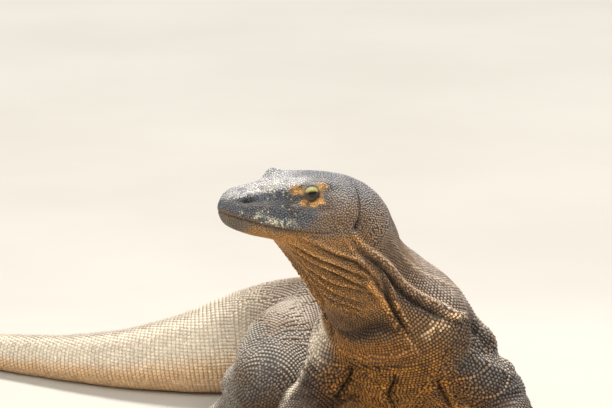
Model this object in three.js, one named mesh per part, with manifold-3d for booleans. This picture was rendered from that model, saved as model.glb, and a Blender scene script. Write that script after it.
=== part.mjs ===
// Komodo dragon (Varanus komodoensis), a still, life-size model in an alert, crouched pose:
// chest propped on the forelegs, neck raised, head turned to its right, trunk curved away behind
// and the tail laid on the floor.
// Millimetres, +Z up. The animal's chest faces -Y and its tail runs towards -X.
import * as THREE from "three";
import { mergeVertices } from "three/addons/utils/BufferGeometryUtils.js";
import Module from "manifold-3d";

const wasm = await Module();
wasm.setup();

// Driving dimensions. They are those of a dragon about two metres long; bodyScale makes it full size.
const bodyScale = 1.15;
const gap = 0.3 / bodyScale; // between neighbouring pieces
const bodySides = 20; // corners of a ring of the neck and trunk
const headSides = 24;
const tailSides = 12;
const limbSides = 12;
const soleSides = 10;
const toeSides = 6;
const clawSides = 5;
const upperRings = 7; // spans between rings of a limb's lengths
const lowerRings = 5;
const soleRings = 4;
const toeRings = 3;
const clawRings = 3;
const neckStart = 10; // the station where the head ends

const snoutTip = new THREE.Vector3(-94, -86, 0);
const headTurn = THREE.MathUtils.degToRad(63); // of the head to the animal's right
const mouthTipHeight = 361;
const mouthCornerBehindSnout = 122;
const mouthCornerHeight = 336;
const jawEndBehindSnout = 66; // at the throat, under the jaw
const belowJaw = 300;
const eyeBehindSnout = 98;
const eyeOffset = 26.5; // of the eyeball's middle from the head's middle plane
const eyeHeight = 376;
const eyeRadius = 12.5;
const chestTurn = THREE.MathUtils.degToRad(8); // of the forelegs about their roots

const skin = {
  head: { color: 0x5a5c60, roughness: 0.7 },
  throat: { color: 0x8a6a48, roughness: 0.75 },
  neck: { color: 0x6e625c, roughness: 0.75 },
  trunk: { color: 0x74695f, roughness: 0.78 },
  leg: { color: 0x666463, roughness: 0.78 },
  tail: { color: 0x9c8a74, roughness: 0.78 },
  claw: { color: 0x2a2522, roughness: 0.4 },
  eye: { color: 0x2b1a0e, roughness: 0.1 },
};

const headBack = new THREE.Vector3(Math.sin(headTurn), Math.cos(headTurn), 0);
const headLeft = new THREE.Vector3(Math.cos(headTurn), -Math.sin(headTurn), 0);

// A point of the head: distance behind the snout, offset to the animal's left, height.
function onHead(behind, left, height) {
  return snoutTip.clone().addScaledVector(headBack, behind).addScaledVector(headLeft, left).setZ(height);
}

function at(x, y, z) {
  return new THREE.Vector3(x, y, z);
}

// The body's stations from snout to tail tip: the highest point of a ring (on the crown, nape, back
// or tail ridge), its lowest (on the jaw, throat, belly or tail keel), half its width, and how boxy
// it is, 2 for an oval and more for a squarer ring.
const bodyStations = [
  { ridge: onHead(0.5, 0, 368), keel: onHead(0.5, 0, 354), wide: 8, square: 2.2 },
  { ridge: onHead(3, 0, 374), keel: onHead(3, 0, 350), wide: 14, square: 2.3 },
  { ridge: onHead(9, 0, 380), keel: onHead(9, 0, 345), wide: 19.5, square: 2.4 },
  { ridge: onHead(18, 0, 383.5), keel: onHead(18, 0, 340), wide: 23, square: 2.5 },
  { ridge: onHead(34, 0, 387), keel: onHead(34, 0, 333), wide: 26.5, square: 2.6 },
  { ridge: onHead(54, 0, 391), keel: onHead(54, 0, 327), wide: 29.5, square: 2.6 },
  { ridge: onHead(72, 0, 395), keel: onHead(67, 0, 321.5), wide: 32.5, square: 2.5 },
  { ridge: onHead(92, 0, 396), keel: onHead(73, 0, 315), wide: 37, square: 2.4 },
  { ridge: onHead(114, 0, 397), keel: onHead(82, 0, 303), wide: 45, square: 2.3 },
  { ridge: at(47, -16, 387), keel: at(-10, -44, 285), wide: 51, square: 2.2 },
  { ridge: at(76, 2, 364), keel: at(8, -42, 262), wide: 53, square: 2.1 },
  { ridge: at(87, 25, 331), keel: at(30, -36, 237), wide: 55, square: 2 },
  { ridge: at(102, 54, 296), keel: at(54, -16, 206), wide: 64, square: 2 },
  { ridge: at(119, 88, 261), keel: at(79, 12, 166), wide: 89, square: 2 },
  { ridge: at(124, 126, 229), keel: at(101, 52, 118), wide: 91, square: 2 },
  { ridge: at(126, 172, 204), keel: at(119, 115, 76), wide: 91, square: 2 },
  { ridge: at(127, 230, 184), keel: at(125, 190, 44), wide: 91, square: 2.1 },
  { ridge: at(116, 308, 167), keel: at(121, 287, 10), wide: 94, square: 2.2 },
  { ridge: at(86, 398, 160), keel: at(90, 390, -1), wide: 93, square: 2.2 },
  { ridge: at(20, 473, 155), keel: at(30, 464, -1), wide: 77, square: 2.1 },
  { ridge: at(-68, 505, 133), keel: at(-52, 500, -1), wide: 57, square: 2 },
  { ridge: at(-150, 507, 100), keel: at(-140, 505, -1), wide: 42, square: 2 },
  { ridge: at(-237, 531, 71), keel: at(-233, 529, -1), wide: 30, square: 2 },
  { ridge: at(-330, 578, 53), keel: at(-330, 578, -1), wide: 22, square: 2 },
  { ridge: at(-440, 640, 42), keel: at(-440, 640, -1), wide: 17, square: 2 },
  { ridge: at(-570, 684, 34), keel: at(-570, 684, -1), wide: 13, square: 2 },
  { ridge: at(-705, 686, 26.5), keel: at(-705, 686, -1), wide: 10, square: 2 },
  { ridge: at(-830, 640, 19), keel: at(-830, 640, -0.8), wide: 7.5, square: 2 },
  { ridge: at(-930, 565, 12.5), keel: at(-930, 565, -0.5), wide: 5, square: 2 },
  { ridge: at(-990, 480, 6.5), keel: at(-990, 480, -0.3), wide: 2.6, square: 2 },
];
const lastStation = bodyStations.length - 1;
const ridgeLine = new THREE.CatmullRomCurve3(bodyStations.map((s) => s.ridge));
const keelLine = new THREE.CatmullRomCurve3(bodyStations.map((s) => s.keel));
const ringShape = new THREE.CatmullRomCurve3(bodyStations.map((s) => at(s.wide, s.square, 0)));
const upright = at(0, 0, 1);

function bodyMiddle(t) {
  return ridgeLine.getPoint(t).lerp(keelLine.getPoint(t), 0.5);
}

// A smooth bump of height 1 around middle, falling to 0 at reach to either side.
function bump(value, middle, reach) {
  const away = Math.abs(value - middle) / reach;
  return away < 1 ? Math.cos((away * Math.PI) / 2) ** 2 : 0;
}

// Where the brow ridges, the groove between them and the cheeks lift or sink the head's surface.
function headRelief(behind, angle) {
  const side = Math.abs(Math.PI / 2 - angle); // from the crown's middle, 0 to pi
  const brow = 7.5 * bump(behind, 84, 30) * bump(side, 0.8, 0.42);
  const groove = -3.5 * bump(behind, 84, 50) * bump(side, 0, 0.5);
  const cheek = 4 * bump(behind, 122, 34) * bump(side, 1.85, 0.8);
  const beforeEye = -3 * bump(behind, 66, 30) * bump(side, 1.15, 0.45);
  const orbit = -6.5 * bump(behind, 97, 22) * bump(side, 1.16, 0.45);
  return brow + groove + cheek + beforeEye + orbit;
}

// One ring of the body. place runs from 0 at the snout to lastStation at the tail tip.
function bodyRing(place, sides, extra = 0) {
  const t = place / lastStation;
  const middle = bodyMiddle(t);
  const up = ridgeLine.getPoint(t).sub(middle);
  const high = up.length();
  up.normalize();
  const step = t < 0.5 ? 1e-4 : -1e-4;
  const along = bodyMiddle(t + step).sub(middle).multiplyScalar(Math.sign(step));
  const left = new THREE.Vector3().crossVectors(along, up).normalize();
  const shape = ringShape.getPoint(t);
  const power = 2 / shape.y;
  const behind = middle.clone().sub(snoutTip).setZ(0).dot(headBack);
  const ring = [];
  for (let i = 0; i < sides; i += 1) {
    const angle = -Math.PI / 2 + ((i + 0.5) / sides) * 2 * Math.PI;
    const c = Math.cos(angle);
    const s = Math.sin(angle);
    const relief = place < neckStart ? headRelief(behind, angle) : 0;
    const across = Math.sign(c) * Math.abs(c) ** power * (shape.x + extra);
    const upward = Math.sign(s) * Math.abs(s) ** power * (high + extra);
    const point = middle.clone().addScaledVector(left, across + c * relief);
    point.addScaledVector(up, upward + s * relief);
    if (place > neckStart) {
      point.z = Math.max(point.z, 0);
    }
    ring.push(point);
  }
  return ring;
}

// A closed skin over rings of equal count, with a fan over each end.
function skinOver(rings) {
  const sides = rings[0].length;
  const positions = [];
  rings.forEach((ring) => ring.forEach((p) => positions.push(p.x, p.y, p.z)));
  const indices = [];
  for (let r = 0; r + 1 < rings.length; r += 1) {
    for (let i = 0; i < sides; i += 1) {
      const a = r * sides + i;
      const b = r * sides + ((i + 1) % sides);
      indices.push(a, b, a + sides, b, b + sides, a + sides);
    }
  }
  [0, rings.length - 1].forEach((r) => {
    const centre = new THREE.Vector3();
    rings[r].forEach((p) => centre.addScaledVector(p, 1 / sides));
    const hub = positions.length / 3;
    positions.push(centre.x, centre.y, centre.z);
    for (let i = 0; i < sides; i += 1) {
      const a = r * sides + i;
      const b = r * sides + ((i + 1) % sides);
      indices.push(...(r === 0 ? [hub, b, a] : [hub, a, b]));
    }
  });
  const geometry = new THREE.BufferGeometry();
  geometry.setAttribute("position", new THREE.Float32BufferAttribute(positions, 3));
  geometry.setIndex(indices);
  return facingOut(geometry);
}

// Turns the triangles over where they enclose a negative volume.
function facingOut(geometry) {
  const p = geometry.attributes.position;
  const index = geometry.index.array;
  const [a, b, c] = [new THREE.Vector3(), new THREE.Vector3(), new THREE.Vector3()];
  let volume = 0;
  for (let i = 0; i < index.length; i += 3) {
    a.fromBufferAttribute(p, index[i]);
    b.fromBufferAttribute(p, index[i + 1]);
    c.fromBufferAttribute(p, index[i + 2]);
    volume += a.dot(b.cross(c));
  }
  if (volume < 0) {
    for (let i = 0; i < index.length; i += 3) {
      [index[i], index[i + 1]] = [index[i + 1], index[i]];
    }
  }
  return geometry;
}

// Between a geometry and a solid that can be joined and cut.
function solid(geometry) {
  const bare = geometry.clone();
  bare.deleteAttribute("normal");
  bare.deleteAttribute("uv");
  const merged = facingOut(mergeVertices(bare, 1e-4));
  return new wasm.Manifold(
    new wasm.Mesh({
      numProp: 3,
      vertProperties: new Float32Array(merged.attributes.position.array),
      triVerts: new Uint32Array(merged.index.array),
    })
  );
}

function geometryOf(piece) {
  const mesh = piece.getMesh();
  const geometry = new THREE.BufferGeometry();
  geometry.setAttribute("position", new THREE.Float32BufferAttribute(mesh.vertProperties, 3));
  geometry.setIndex(Array.from(mesh.triVerts));
  return geometry;
}

const dragon = new THREE.Group();
dragon.scale.setScalar(bodyScale);

function addNode(name, geometry, look) {
  const material = new THREE.MeshStandardMaterial({ ...look, metalness: 0 });
  const mesh = new THREE.Mesh(geometry, material);
  mesh.name = name;
  dragon.add(mesh);
}

// A length of the body between two places, over so many equal steps.
function bodyLength(from, to, sides, rings, extra = 0) {
  const places = Array.from({ length: rings + 1 }, (_, i) => from + ((to - from) * i) / rings);
  return skinOver(places.map((place) => bodyRing(place, sides, extra)));
}

// The place reached after moving a small distance along the body.
function moved(place, distance) {
  const step = 0.001;
  const here = bodyMiddle(place / lastStation);
  const there = bodyMiddle((place + step) / lastStation);
  return place + (distance * step) / here.distanceTo(there);
}

// Head, with the lower jaw parted from it along the mouth, and the eyes in their sockets.
const headRings = 20;
const wholeHead = solid(bodyLength(0, moved(neckStart, -gap / 2), headSides, headRings));

function mouthHeight(behind) {
  const t = behind / mouthCornerBehindSnout;
  const straight = mouthTipHeight + (mouthCornerHeight - mouthTipHeight) * t;
  return straight - 6 * Math.sin(Math.PI * Math.min(1, t)) * (1 - 0.5 * t);
}

// The block under the mouth line that holds the lower jaw, widened all round by extra.
function jawBlock(extra) {
  const outline = new THREE.Shape();
  const steps = 7;
  outline.moveTo(-30, mouthTipHeight + extra);
  for (let i = 0; i <= steps; i += 1) {
    const behind = ((mouthCornerBehindSnout + 4 * extra) * i) / steps;
    outline.lineTo(behind, mouthHeight(behind) + extra);
  }
  outline.lineTo(jawEndBehindSnout + 2 * extra, belowJaw);
  outline.lineTo(-30, belowJaw);
  const reach = 90;
  const block = new THREE.ExtrudeGeometry(outline, { depth: 2 * reach, bevelEnabled: false });
  const frame = new THREE.Matrix4().makeBasis(headBack, new THREE.Vector3(0, 0, 1), headLeft);
  frame.setPosition(snoutTip.clone().addScaledVector(headLeft, -reach));
  block.applyMatrix4(frame);
  return solid(block);
}

const eyeMiddles = {
  left: onHead(eyeBehindSnout, eyeOffset, eyeHeight),
  right: onHead(eyeBehindSnout, -eyeOffset, eyeHeight),
};

function eyeball(side, radius) {
  const ball = new THREE.SphereGeometry(radius, 12, 8);
  ball.translate(eyeMiddles[side].x, eyeMiddles[side].y, eyeMiddles[side].z);
  return ball;
}

const lowerJaw = wholeHead.intersect(jawBlock(-gap));
let head = wholeHead.subtract(jawBlock(0));
["left", "right"].forEach((side) => {
  head = head.subtract(solid(eyeball(side, eyeRadius + gap)));
  addNode(`eye_${side}`, eyeball(side, eyeRadius), skin.eye);
});
addNode("head", geometryOf(head), skin.head);
addNode("lower_jaw", geometryOf(lowerJaw), skin.throat);

// Neck, trunk and tail: lengths of the body, each with its rings.
const bodyLengths = [
  { name: "neck_upper", from: 10, to: 12, rings: 7, sides: bodySides, look: skin.neck },
  { name: "neck_lower", from: 12, to: 13.6, rings: 4, sides: bodySides, look: skin.neck },
  { name: "trunk_shoulders", from: 13.6, to: 15.6, rings: 7, sides: bodySides, look: skin.trunk },
  { name: "trunk_belly", from: 15.6, to: 18, rings: 7, sides: bodySides, look: skin.trunk },
  { name: "trunk_hips", from: 18, to: 20, rings: 7, sides: bodySides, look: skin.trunk },
  { name: "tail_base", from: 20, to: 22, rings: 7, sides: tailSides, look: skin.tail },
  { name: "tail_middle", from: 22, to: 24.5, rings: 6, sides: tailSides, look: skin.tail },
  { name: "tail_rear", from: 24.5, to: 27, rings: 6, sides: tailSides, look: skin.tail },
  { name: "tail_tip", from: 27, to: lastStation, rings: 6, sides: tailSides, look: skin.tail },
];
bodyLengths.forEach(({ name, from, to, rings, sides, look }) => {
  const end = to === lastStation ? to : moved(to, -gap / 2);
  addNode(name, bodyLength(moved(from, gap / 2), end, sides, rings), look);
});

// The room the named lengths take up, with the gap round them.
function roomOf(names) {
  const rooms = bodyLengths.filter(({ name }) => names.includes(name));
  const grown = rooms.map(({ from, to, sides, rings }) => {
    return solid(bodyLength(moved(from, -gap), moved(to, gap), sides, rings, 2 * gap));
  });
  return grown.reduce((all, next) => all.add(next));
}

const shoulderRegion = roomOf(["neck_upper", "neck_lower", "trunk_shoulders", "trunk_belly"]);
const hipRegion = roomOf(["trunk_belly", "trunk_hips", "tail_base"]);

// A limb is a run of lengths, each a loft through stations of a middle, a half width and a half height.
function limbLoft(stations, rings, sides, extra = 0) {
  const line = new THREE.CatmullRomCurve3(stations.map((s) => s.middle));
  const sizes = new THREE.CatmullRomCurve3(stations.map((s) => at(s.wide, s.high, 0)));
  const list = [];
  let left = null;
  for (let r = 0; r <= rings; r += 1) {
    const t = r / rings;
    const middle = line.getPoint(t);
    const along = line.getTangent(t);
    const size = sizes.getPoint(t);
    left = left ?? new THREE.Vector3().crossVectors(Math.abs(along.z) > 0.9 ? headLeft : upright, along);
    left.addScaledVector(along, -left.dot(along)).normalize();
    const up = new THREE.Vector3().crossVectors(along, left).normalize();
    const ring = [];
    for (let i = 0; i < sides; i += 1) {
      const angle = (i / sides) * 2 * Math.PI;
      const point = middle.clone();
      point.addScaledVector(left, Math.cos(angle) * (size.x + extra));
      point.addScaledVector(up, Math.sin(angle) * (size.y + extra));
      point.z = Math.max(point.z, 0);
      ring.push(point);
    }
    list.push(ring);
  }
  return skinOver(list);
}

// Each leg is given in its own frame: x outwards from the body, y forwards, z up, from the joint's root.
function leg({ name, root, turn, side, upper, lower, sole, toes, claw, body }) {
  const forward = new THREE.Vector3(-Math.sin(turn), -Math.cos(turn), 0);
  const outward = new THREE.Vector3(Math.cos(turn), -Math.sin(turn), 0).multiplyScalar(side);
  const place = (x, y, z) => root.clone().addScaledVector(outward, x).addScaledVector(forward, y).setZ(z);
  const stations = (list) => list.map((s) => ({ ...s, middle: place(s.out, s.ahead, s.up) }));
  const upperStations = stations(upper);
  const lowerStations = stations(lower);
  const soleStations = stations(sole);
  const upperSolid = solid(limbLoft(upperStations, upperRings, limbSides)).subtract(body);
  addNode(`${name}_upper`, geometryOf(upperSolid), skin.leg);
  const upperRoom = solid(limbLoft(upperStations, upperRings, limbSides, gap)).add(body);
  const lowerSolid = solid(limbLoft(lowerStations, lowerRings, limbSides)).subtract(upperRoom);
  addNode(`${name}_lower`, geometryOf(lowerSolid), skin.leg);
  let foot = solid(limbLoft(soleStations, soleRings, soleSides));
  toes.forEach(({ base, spread, length, thick }, index) => {
    const heading = THREE.MathUtils.degToRad(spread);
    const run = (distance, up, wide, high) => {
      const out = base.out + Math.sin(heading) * distance;
      const ahead = base.ahead + Math.cos(heading) * distance;
      return { out, ahead, up, wide, high };
    };
    const toe = stations([
      run(0, thick * 0.84, thick, thick),
      run(length * 0.45, thick * 0.85, thick * 0.92, thick),
      run(length * 0.75, thick * 0.7, thick * 0.9, thick * 0.86),
      run(length, thick * 0.7, thick * 0.74, thick * 0.81),
    ]);
    foot = foot.add(solid(limbLoft(toe, toeRings, toeSides)));
    const clawStations = stations([
      run(length + gap, thick * 0.82, thick * 0.52, thick * 0.6),
      run(length + claw * 0.35, thick * 0.82, thick * 0.44, thick * 0.56),
      run(length + claw * 0.75, thick * 0.75, thick * 0.26, thick * 0.36),
      run(length + claw, thick * 0.25, thick * 0.07, thick * 0.09),
    ]);
    addNode(`${name}_claw_${index + 1}`, limbLoft(clawStations, clawRings, clawSides), skin.claw);
  });
  const lowerRoom = solid(limbLoft(lowerStations, lowerRings, limbSides, gap)).add(upperRoom);
  addNode(`${name}_foot`, geometryOf(foot.subtract(lowerRoom)), skin.leg);
}

const foreleg = {
  upper: [
    { out: 38, ahead: 6, up: 178, wide: 30, high: 32 },
    { out: 62, ahead: -2, up: 168, wide: 39, high: 40 },
    { out: 87, ahead: -9, up: 142, wide: 37, high: 39 },
    { out: 114, ahead: -12, up: 112, wide: 31, high: 32 },
    { out: 123, ahead: -8, up: 98, wide: 17, high: 17 },
  ],
  lower: [
    { out: 119, ahead: -14, up: 104, wide: 15, high: 15 },
    { out: 123, ahead: -4, up: 94, wide: 28, high: 28 },
    { out: 130, ahead: 26, up: 66, wide: 26, high: 23 },
    { out: 134, ahead: 52, up: 38, wide: 19, high: 17 },
    { out: 136, ahead: 66, up: 22, wide: 19, high: 13 },
  ],
  sole: [
    { out: 135, ahead: 48, up: 24, wide: 16, high: 15 },
    { out: 137, ahead: 66, up: 16, wide: 22, high: 13 },
    { out: 139, ahead: 86, up: 10.5, wide: 30, high: 11.5 },
    { out: 141, ahead: 102, up: 8.5, wide: 31, high: 9.2 },
    { out: 142, ahead: 112, up: 6.5, wide: 24, high: 7 },
  ],
  toes: [
    { base: { out: 118, ahead: 90 }, spread: -34, length: 30, thick: 6.6 },
    { base: { out: 127, ahead: 101 }, spread: -14, length: 38, thick: 7 },
    { base: { out: 139, ahead: 104 }, spread: 4, length: 41, thick: 7.2 },
    { base: { out: 151, ahead: 102 }, spread: 20, length: 39, thick: 7 },
    { base: { out: 163, ahead: 90 }, spread: 44, length: 31, thick: 6.6 },
  ],
  claw: 21,
};
const rightUpperArm = [
  { out: 50, ahead: 8, up: 205, wide: 26, high: 30 },
  { out: 74, ahead: 2, up: 190, wide: 36, high: 38 },
  { out: 79, ahead: -6, up: 163, wide: 38, high: 40 },
  { out: 88, ahead: -10, up: 138, wide: 36, high: 38 },
  { out: 108, ahead: -12, up: 112, wide: 29, high: 31 },
  { out: 119, ahead: -8, up: 98, wide: 14, high: 14 },
];
// The right hindleg is drawn forward under the flank; the left lies further out.
const hindlegRight = {
  upper: [
    { out: -24, ahead: -26, up: 88, wide: 40, high: 46 },
    { out: 15, ahead: 42, up: 86, wide: 47, high: 51 },
    { out: 31, ahead: 92, up: 70, wide: 46, high: 46 },
    { out: 40, ahead: 128, up: 56, wide: 38, high: 37 },
    { out: 43, ahead: 143, up: 50, wide: 17, high: 18 },
  ],
  lower: [
    { out: 40, ahead: 134, up: 52, wide: 20, high: 20 },
    { out: 46, ahead: 112, up: 50, wide: 33, high: 31 },
    { out: 60, ahead: 65, up: 42, wide: 34, high: 33 },
    { out: 66, ahead: 30, up: 29, wide: 23, high: 21 },
    { out: 68, ahead: 14, up: 22, wide: 17, high: 15 },
  ],
  sole: [
    { out: 67, ahead: -2, up: 17, wide: 14, high: 14 },
    { out: 70, ahead: 18, up: 16, wide: 19, high: 15 },
    { out: 78, ahead: 58, up: 11, wide: 25, high: 12 },
    { out: 87, ahead: 92, up: 9.8, wide: 30, high: 10.8 },
    { out: 91, ahead: 107, up: 7, wide: 25, high: 7.6 },
  ],
  toes: [
    { base: { out: 73, ahead: 88 }, spread: -20, length: 30, thick: 6.8 },
    { base: { out: 81, ahead: 102 }, spread: 0, length: 46, thick: 7.4 },
    { base: { out: 93, ahead: 105 }, spread: 14, length: 57, thick: 7.6 },
    { base: { out: 104, ahead: 98 }, spread: 28, length: 64, thick: 7.6 },
    { base: { out: 99, ahead: 70 }, spread: 56, length: 42, thick: 6.8 },
  ],
  claw: 23,
};
const hindlegLeft = {
  upper: [
    { out: 30, ahead: -10, up: 88, wide: 40, high: 46 },
    { out: 75, ahead: 10, up: 84, wide: 46, high: 46 },
    { out: 112, ahead: 32, up: 68, wide: 40, high: 39 },
    { out: 138, ahead: 50, up: 53, wide: 32, high: 32 },
    { out: 149, ahead: 56, up: 47, wide: 14, high: 14 },
  ],
  lower: [
    { out: 144, ahead: 54, up: 49, wide: 18, high: 18 },
    { out: 142, ahead: 38, up: 48, wide: 31, high: 30 },
    { out: 143, ahead: 4, up: 42, wide: 34, high: 32 },
    { out: 150, ahead: -30, up: 29, wide: 22, high: 20 },
    { out: 152, ahead: -44, up: 22, wide: 17, high: 15 },
  ],
  sole: [
    { out: 145, ahead: -58, up: 17, wide: 14, high: 14 },
    { out: 156, ahead: -42, up: 16, wide: 19, high: 15 },
    { out: 176, ahead: -16, up: 11.5, wide: 25, high: 12.5 },
    { out: 195, ahead: 8, up: 9.8, wide: 30, high: 10.8 },
    { out: 204, ahead: 18, up: 7, wide: 25, high: 7.6 },
  ],
  toes: [
    { base: { out: 184, ahead: 18 }, spread: 16, length: 30, thick: 6.8 },
    { base: { out: 195, ahead: 22 }, spread: 34, length: 46, thick: 7.4 },
    { base: { out: 206, ahead: 18 }, spread: 48, length: 54, thick: 7.6 },
    { base: { out: 212, ahead: 6 }, spread: 62, length: 58, thick: 7.6 },
    { base: { out: 199, ahead: -20 }, spread: 90, length: 40, thick: 6.8 },
  ],
  claw: 23,
};
const leftShoulder = at(111, 78, 0);
const rightShoulder = at(120, 82, 0);
const hips = at(25, 470, 0);
const rightHip = at(-10, 445, 0);
const hipTurn = THREE.MathUtils.degToRad(-50);
const forelegs = { turn: chestTurn, body: shoulderRegion, ...foreleg };
leg({ ...forelegs, name: "foreleg_left", root: leftShoulder, side: 1 });
leg({ ...forelegs, name: "foreleg_right", root: rightShoulder, side: -1, upper: rightUpperArm });
leg({ name: "hindleg_left", root: hips, turn: hipTurn, side: 1, body: hipRegion, ...hindlegLeft });
leg({ name: "hindleg_right", root: rightHip, turn: 0, side: -1, body: hipRegion, ...hindlegRight });

// The origin is the middle of the box round the animal, on the floor.
const extent = new THREE.Box3().setFromObject(dragon);
const middle = extent.getCenter(new THREE.Vector3());
dragon.position.set(-middle.x, -middle.y, -extent.min.z);

export default dragon;
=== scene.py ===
import bpy
import bmesh
import math
import numpy as np
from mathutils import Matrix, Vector
from mathutils.bvhtree import BVHTree
from mathutils.kdtree import KDTree


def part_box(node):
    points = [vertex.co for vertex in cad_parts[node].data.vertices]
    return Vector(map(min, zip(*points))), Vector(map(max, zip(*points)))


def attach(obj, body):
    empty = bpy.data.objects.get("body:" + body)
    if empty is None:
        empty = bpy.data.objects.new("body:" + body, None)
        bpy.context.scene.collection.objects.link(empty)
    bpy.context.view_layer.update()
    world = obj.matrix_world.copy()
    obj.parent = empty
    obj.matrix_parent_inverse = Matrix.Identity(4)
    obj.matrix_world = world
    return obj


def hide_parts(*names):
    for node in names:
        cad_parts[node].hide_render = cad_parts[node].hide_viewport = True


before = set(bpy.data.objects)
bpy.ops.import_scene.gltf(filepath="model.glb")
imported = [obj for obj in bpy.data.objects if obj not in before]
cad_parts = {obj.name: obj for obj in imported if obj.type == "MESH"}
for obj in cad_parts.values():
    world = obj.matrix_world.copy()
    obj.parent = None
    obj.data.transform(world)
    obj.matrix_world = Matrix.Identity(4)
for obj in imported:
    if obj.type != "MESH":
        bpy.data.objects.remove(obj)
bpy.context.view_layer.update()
rng = np.random.default_rng(23)


# The tables are in millimetres of a two-metre dragon, before it is brought to its full size.
unit = 0.00115
headTurn = math.radians(63)
snout = np.array([-94.0, -86.0, 0.0])
headBack = np.array([math.sin(headTurn), math.cos(headTurn), 0.0])
headLeft = np.array([math.cos(headTurn), -math.sin(headTurn), 0.0])
upright = np.array([0.0, 0.0, 1.0])


def onHead(behind, left, height):
    return snout + headBack * behind + headLeft * left + upright * height


eyeLow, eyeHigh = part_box("eye_left")
origin = (np.array(eyeLow) + np.array(eyeHigh)) / 2 - onHead(98, 26.5, 376) * unit


def toModel(points):
    return origin + np.asarray(points) * unit


def toTable(points):
    return (np.asarray(points) - origin) / unit


# Ridge and keel of the body: on the head as (behind the snout, height), then as points.
headRows = [(0.5, 368, 0.5, 354), (3, 374, 3, 350), (9, 380, 9, 345), (18, 383.5, 18, 340),
            (34, 387, 34, 333), (54, 391, 54, 327), (72, 395, 67, 321.5), (92, 396, 73, 315),
            (114, 397, 82, 303)]
bodyRows = [
    ((47, -16, 387), (-10, -44, 285)), ((76, 2, 364), (8, -42, 262)), ((87, 25, 331), (30, -36, 237)),
    ((102, 54, 296), (54, -16, 206)), ((119, 88, 261), (79, 12, 166)), ((124, 126, 229), (101, 52, 118)),
    ((126, 172, 204), (119, 115, 76)), ((127, 230, 184), (125, 190, 44)), ((116, 308, 167), (121, 287, 10)),
    ((86, 398, 160), (90, 390, -1)), ((20, 473, 155), (30, 464, -1)), ((-68, 505, 133), (-52, 500, -1)),
    ((-150, 507, 100), (-140, 505, -1)), ((-237, 531, 71), (-233, 529, -1)),
    ((-330, 578, 53), (-330, 578, -1)), ((-440, 640, 42), (-440, 640, -1)),
    ((-570, 684, 34), (-570, 684, -1)), ((-705, 686, 26.5), (-705, 686, -1)),
    ((-830, 640, 19), (-830, 640, -1)), ((-930, 565, 12.5), (-930, 565, -0.5)),
    ((-990, 480, 6.5), (-990, 480, 0)),
]
ridgePoints = np.array([onHead(b, 0, z) for b, z, _, _ in headRows] +
                       [np.array(r, float) for r, _ in bodyRows])
keelPoints = np.array([onHead(b, 0, z) for _, _, b, z in headRows] +
                      [np.array(k, float) for _, k in bodyRows])
lastPlace = len(ridgePoints) - 1


def spline(points, t):
    points = np.asarray(points, float)
    t = np.clip(np.atleast_1d(t), 0, len(points) - 1 - 1e-6)
    i = t.astype(int)
    u = (t - i)[:, None]
    a, b = points[np.maximum(i - 1, 0)], points[i]
    c, d = points[i + 1], points[np.minimum(i + 2, len(points) - 1)]
    return 0.5 * (2 * b + (c - a) * u + (2 * a - 5 * b + 4 * c - d) * u**2 + (3 * b - a - 3 * c + d) * u**3)


def unitRows(v):
    return v / np.maximum(np.linalg.norm(v, axis=-1, keepdims=True), 1e-9)


def axisFrames(middles, ups):
    # One row per step of an axis: its point, up, left, along and the length run so far
    along = unitRows(np.gradient(middles, axis=0))
    left = unitRows(np.cross(along, ups))
    normal = np.cross(ups, left)
    run = np.concatenate([[0], np.cumsum(np.linalg.norm(np.diff(middles, axis=0), axis=1))])
    return {"middle": middles, "up": ups, "left": left, "along": unitRows(normal), "run": run}


placeStep = 0.05
places = np.arange(0, lastPlace + 1e-6, placeStep)
ridge, keel = spline(ridgePoints, places), spline(keelPoints, places)
body = axisFrames((ridge + keel) / 2, unitRows(ridge - keel))
body["place"] = places

# Each leg: where it is rooted, how it is turned, which side it is on, and its line (out, ahead, up).
legs = {
    "foreleg_left": {"root": (111, 78), "turn": 8, "side": 1, "line": [
        (38, 6, 178), (62, -2, 168), (87, -9, 142), (114, -12, 112), (124, 2, 88), (130, 26, 66),
        (134, 52, 38), (137, 66, 20), (140, 90, 11), (141, 112, 8)]},
    "foreleg_right": {"root": (120, 82), "turn": 8, "side": -1, "line": [
        (50, 8, 205), (74, 2, 190), (79, -6, 163), (88, -10, 138), (108, -12, 112), (124, 2, 88),
        (130, 26, 66), (134, 52, 38), (137, 66, 20), (140, 90, 11), (141, 112, 8)]},
    "hindleg_left": {"root": (25, 470), "turn": -50, "side": 1, "line": [
        (30, -10, 88), (75, 10, 84), (112, 32, 68), (140, 50, 52), (143, 34, 47), (143, 4, 42),
        (150, -30, 29), (153, -46, 18), (176, -16, 12), (195, 8, 10), (204, 20, 8)]},
    "hindleg_right": {"root": (-10, 445), "turn": 0, "side": -1, "line": [
        (-24, -26, 88), (15, 42, 86), (31, 92, 70), (41, 132, 54), (46, 112, 50), (60, 65, 42),
        (66, 30, 29), (68, 8, 18), (78, 58, 11), (87, 92, 10), (91, 108, 8)]},
}


def onLeg(leg, out, ahead, up):
    turn = math.radians(leg["turn"])
    forward = np.array([-math.sin(turn), -math.cos(turn), 0])
    outward = np.array([math.cos(turn), -math.sin(turn), 0]) * leg["side"]
    return np.array([*leg["root"], 0]) + outward * out + forward * ahead + upright * up


print("axis ready")


def linked(name, data):
    thing = bpy.data.objects.new(name, data)
    bpy.context.scene.collection.objects.link(thing)
    return thing


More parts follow.
